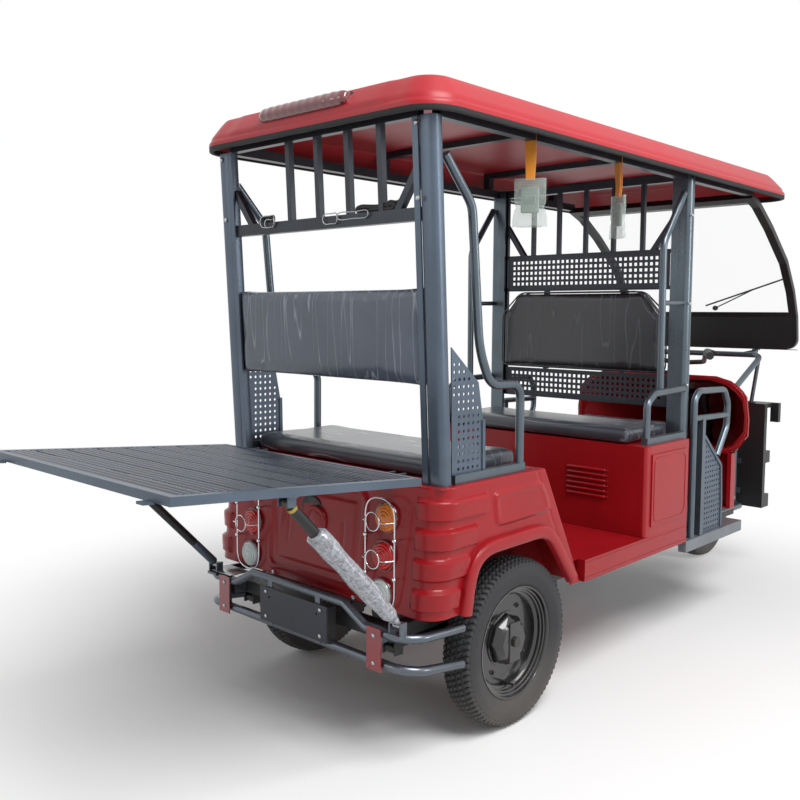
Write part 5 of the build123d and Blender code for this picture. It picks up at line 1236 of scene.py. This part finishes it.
for k in range(LOUVRES):
    z = LOUVRE_LOW + LOUVRE_PITCH * k
    hood = [(166, 697, z), (168, 694.5, z), (318, 694.5, z), (320, 697, z)]
    box_parts.append(tube(hood, LOUVRE_R, sides=14))
    box_parts.append(turned([(-2, 3), (2, 2.6), (3.4, 0.3)], (331, 697, z), axis=BACK, sides=10))
corners = [(485.2, 748, 476), (485.2, 981, 476), (485.2, 981, 703), (485.2, 748, 703)]
box_parts.append(tube(bend(corners, 34, closed=True), 1.8, sides=8, closed=True))
piece("bench_box_trim", joined(box_parts), red_paint, smooth=50)
sill_lines = [tube([(480.4, 330, z), (480.4, 1012, z)], 1.6, sides=8) for z in (372, 420)]
piece("sill_lines", mirrored(joined(sill_lines)), red_paint, smooth=50)
print("box trim faces", made["bench_box_trim"])

# %% [markdown]
# ## Front cowl
# The cowl is one deep moulding with an oval mouth. Its skin is lofted: the mouth's outline and the
# nose's outline are smooth closed curves with the same number of points, and each ring between them is
# a mix of the two. The wall turns back on itself at the mouth, so the rim looks as thick as it is.
# %% Cowl skin
MOUTH = [(0, 934), (140, 934), (270, 930), (338, 914), (379, 888), (409, 848), (421, 754), (417, 685),
         (375, 621), (300, 601), (140, 600)]
NOSE = [(0, 872), (60, 872), (110, 869), (135, 860), (150, 847), (160, 824), (164, 770), (163, 700),
        (140, 642), (115, 596), (60, 594)]
COWL_REAR_Y, COWL_NOSE_Y, COWL_STEPS, WALL_SHARE = 1697.0, 2149.0, 16, 0.02
RIM_Y, RIM_Z, RIM_R = 1698.0, 767, 8.0


def closed_curve(half, steps=8):
    """The half outline mirrored across X = 0 and smoothed into one closed curve."""
    half = np.asarray(half, float)
    low_point = np.array([[0.0, half[-1, 1]]])
    whole = np.concatenate([half, low_point, (half[1:] * [-1, 1])[::-1]])
    padded_line = np.concatenate([whole[-2:], whole, whole[:3]])
    return smooth_line(padded_line, steps)[2 * steps:-(2 * steps) - 1]


def cowl_skin():
    """Ring t is mouth * (1 - m) + nose * m with m = t^1.15: the outside, then the inside, drawn in."""
    mouth, nose = closed_curve(MOUTH), closed_curve(NOSE)
    rows = []
    outside = [(t, 0.0) for t in np.linspace(0, 1, COWL_STEPS)]
    back_again = [(t, WALL_SHARE) for t in np.linspace(1, 0, COWL_STEPS)]
    for t, drawn_in in outside + back_again:
        m = t ** 1.15
        line = mouth * (1 - m) + nose * m
        middle = line.mean(0)
        line = middle + (line - middle) * (1 - drawn_in)
        y = COWL_REAR_Y + (COWL_NOSE_Y - COWL_REAR_Y) * t
        rows.append(np.column_stack([line[:, 0], np.full(len(line), y), line[:, 1]]))
    return surface(np.array(rows), wrap_rows=True, wrap_columns=True)


piece("cowl_skin", cowl_skin(), red_paint, smooth=40)
x, z = closed_curve(MOUTH).T
rim_curve = np.column_stack([x * 0.975, np.full(len(x), RIM_Y), RIM_Z + (z - RIM_Z) * 0.955])
piece("cowl_rim", tube(rim_curve, RIM_R, sides=14, closed=True), red_paint)
print("cowl faces", made["cowl_skin"])

# %% [markdown]
# ## Wiper
# One long wiper lies across the lower half of the screen: a blade, the arm that carries it and the arm's
# round pivot. At its size in the picture three plain shapes are enough. The frame beside it gets its bolts.
# %% Wiper and frame bolts
wiper = [tube([(-2, 2168, 1248), (410, 2097, 1372)], 4.0, sides=8),
         tube([(46, 2168, 1236), (246, 2127, 1322)], 3.0, sides=8),
         turned([(-6, 12), (6, 12), (8, 9), (8, 0.4)], (46, 2170, 1236), axis=(0, 1, 0), sides=20)]
piece("screen_wiper", joined(wiper), black_plastic, smooth=50)
bolts("frame_bolts", [(461, 1026, z) for z in (941, 1240, 1560)], (1, 0, 0), scale=0.9)
print("wiper faces", made["screen_wiper"])

# %% [markdown]
# ## Stage
# A white studio: a wide floor that takes the shadow near the vehicle and is plain white further out, a
# white surround, and three large soft lamps. The surround is full white only for the camera and for
# reflections, so that the background doesn't wash out the paint.
# %% Floor, world and lamps
bpy.context.scene.view_settings.view_transform = "Standard"


def seen_by(tree):
    """1 for rays from the camera, mirrors and glass, and 0 for rays that carry light to the object."""
    path = node(tree, "ShaderNodeLightPath")
    total = path.outputs["Is Camera Ray"]
    for ray in ("Is Glossy Ray", "Is Transmission Ray"):
        add = node(tree, "ShaderNodeMath", operation="MAXIMUM")
        tree.links.new(total, add.inputs[0])
        tree.links.new(path.outputs[ray], add.inputs[1])
        total = add.outputs[0]
    return total


world = bpy.data.worlds.new("studio")
bpy.context.scene.world = world
world.use_nodes = True
tree = world.node_tree
background = tree.nodes["Background"]
background.inputs["Color"].default_value = (1, 1, 1, 1)
level = node(tree, "ShaderNodeMapRange", To_Min=0.30, To_Max=1.0)
tree.links.new(seen_by(tree), level.inputs["Value"])
tree.links.new(level.outputs["Result"], background.inputs["Strength"])

floor_material = bpy.data.materials.new("studio_floor")
floor_material.use_nodes = True
tree = floor_material.node_tree
shader = tree.nodes["Principled BSDF"]
shader.inputs["Base Color"].default_value = (0.9, 0.9, 0.9, 1)
shader.inputs["Roughness"].default_value = 0.9
shader.inputs["Specular IOR Level"].default_value = 0.1
glow = node(tree, "ShaderNodeEmission")
where = node(tree, "ShaderNodeTexCoord").outputs["Object"]
distance = node(tree, "ShaderNodeVectorMath", operation="LENGTH")
tree.links.new(where, distance.inputs[0])
fade = node(tree, "ShaderNodeMapRange", From_Min=0.9, From_Max=2.6, interpolation_type="SMOOTHSTEP")
tree.links.new(distance.outputs["Value"], fade.inputs["Value"])
only_seen = node(tree, "ShaderNodeMath", operation="MULTIPLY")
tree.links.new(fade.outputs["Result"], only_seen.inputs[0])
tree.links.new(seen_by(tree), only_seen.inputs[1])
mix = node(tree, "ShaderNodeMixShader")
tree.links.new(only_seen.outputs[0], mix.inputs[0])
tree.links.new(shader.outputs[0], mix.inputs[1])
tree.links.new(glow.outputs[0], mix.inputs[2])
tree.links.new(mix.outputs[0], tree.nodes["Material Output"].inputs["Surface"])
FLOOR_HALF = 30.0
floor_points = np.array([(-1, -1, 0), (1, -1, 0), (1, 1, 0), (-1, 1, 0)]) * FLOOR_HALF
floor_mesh = bpy.data.meshes.new("floor")
floor_mesh.from_pydata(floor_points.tolist(), [], [(0, 1, 2, 3)])
floor_mesh.materials.append(floor_material)
floor = bpy.data.objects.new("floor", floor_mesh)
bpy.context.collection.objects.link(floor)


def lamp(name, place_at, aim, size, power):
    """A square soft lamp at a place, turned to its aim."""
    data = bpy.data.lights.new(name, "AREA")
    data.energy, data.size = power, size
    obj = bpy.data.objects.new(name, data)
    bpy.context.collection.objects.link(obj)
    obj.location = place_at
    obj.rotation_mode = "QUATERNION"
    obj.rotation_quaternion = (Vector(aim) - Vector(place_at)).to_track_quat("-Z", "Y")


lamp("key_lamp", (2.8, -1.2, 4.4), aim=(0, 0, 0.8), size=2.4, power=210)
lamp("side_lamp", (4.6, 1.4, 2.0), aim=(0, 0.2, 0.8), size=1.6, power=62)
lamp("rear_lamp", (-1.6, -4.4, 2.6), aim=(0, -0.8, 0.7), size=2.0, power=22)
print("stage ready")

# %% [markdown]
# ## Pieces made
# The number of faces of each piece made here is printed.
# %% Face counts
print("pieces", made)
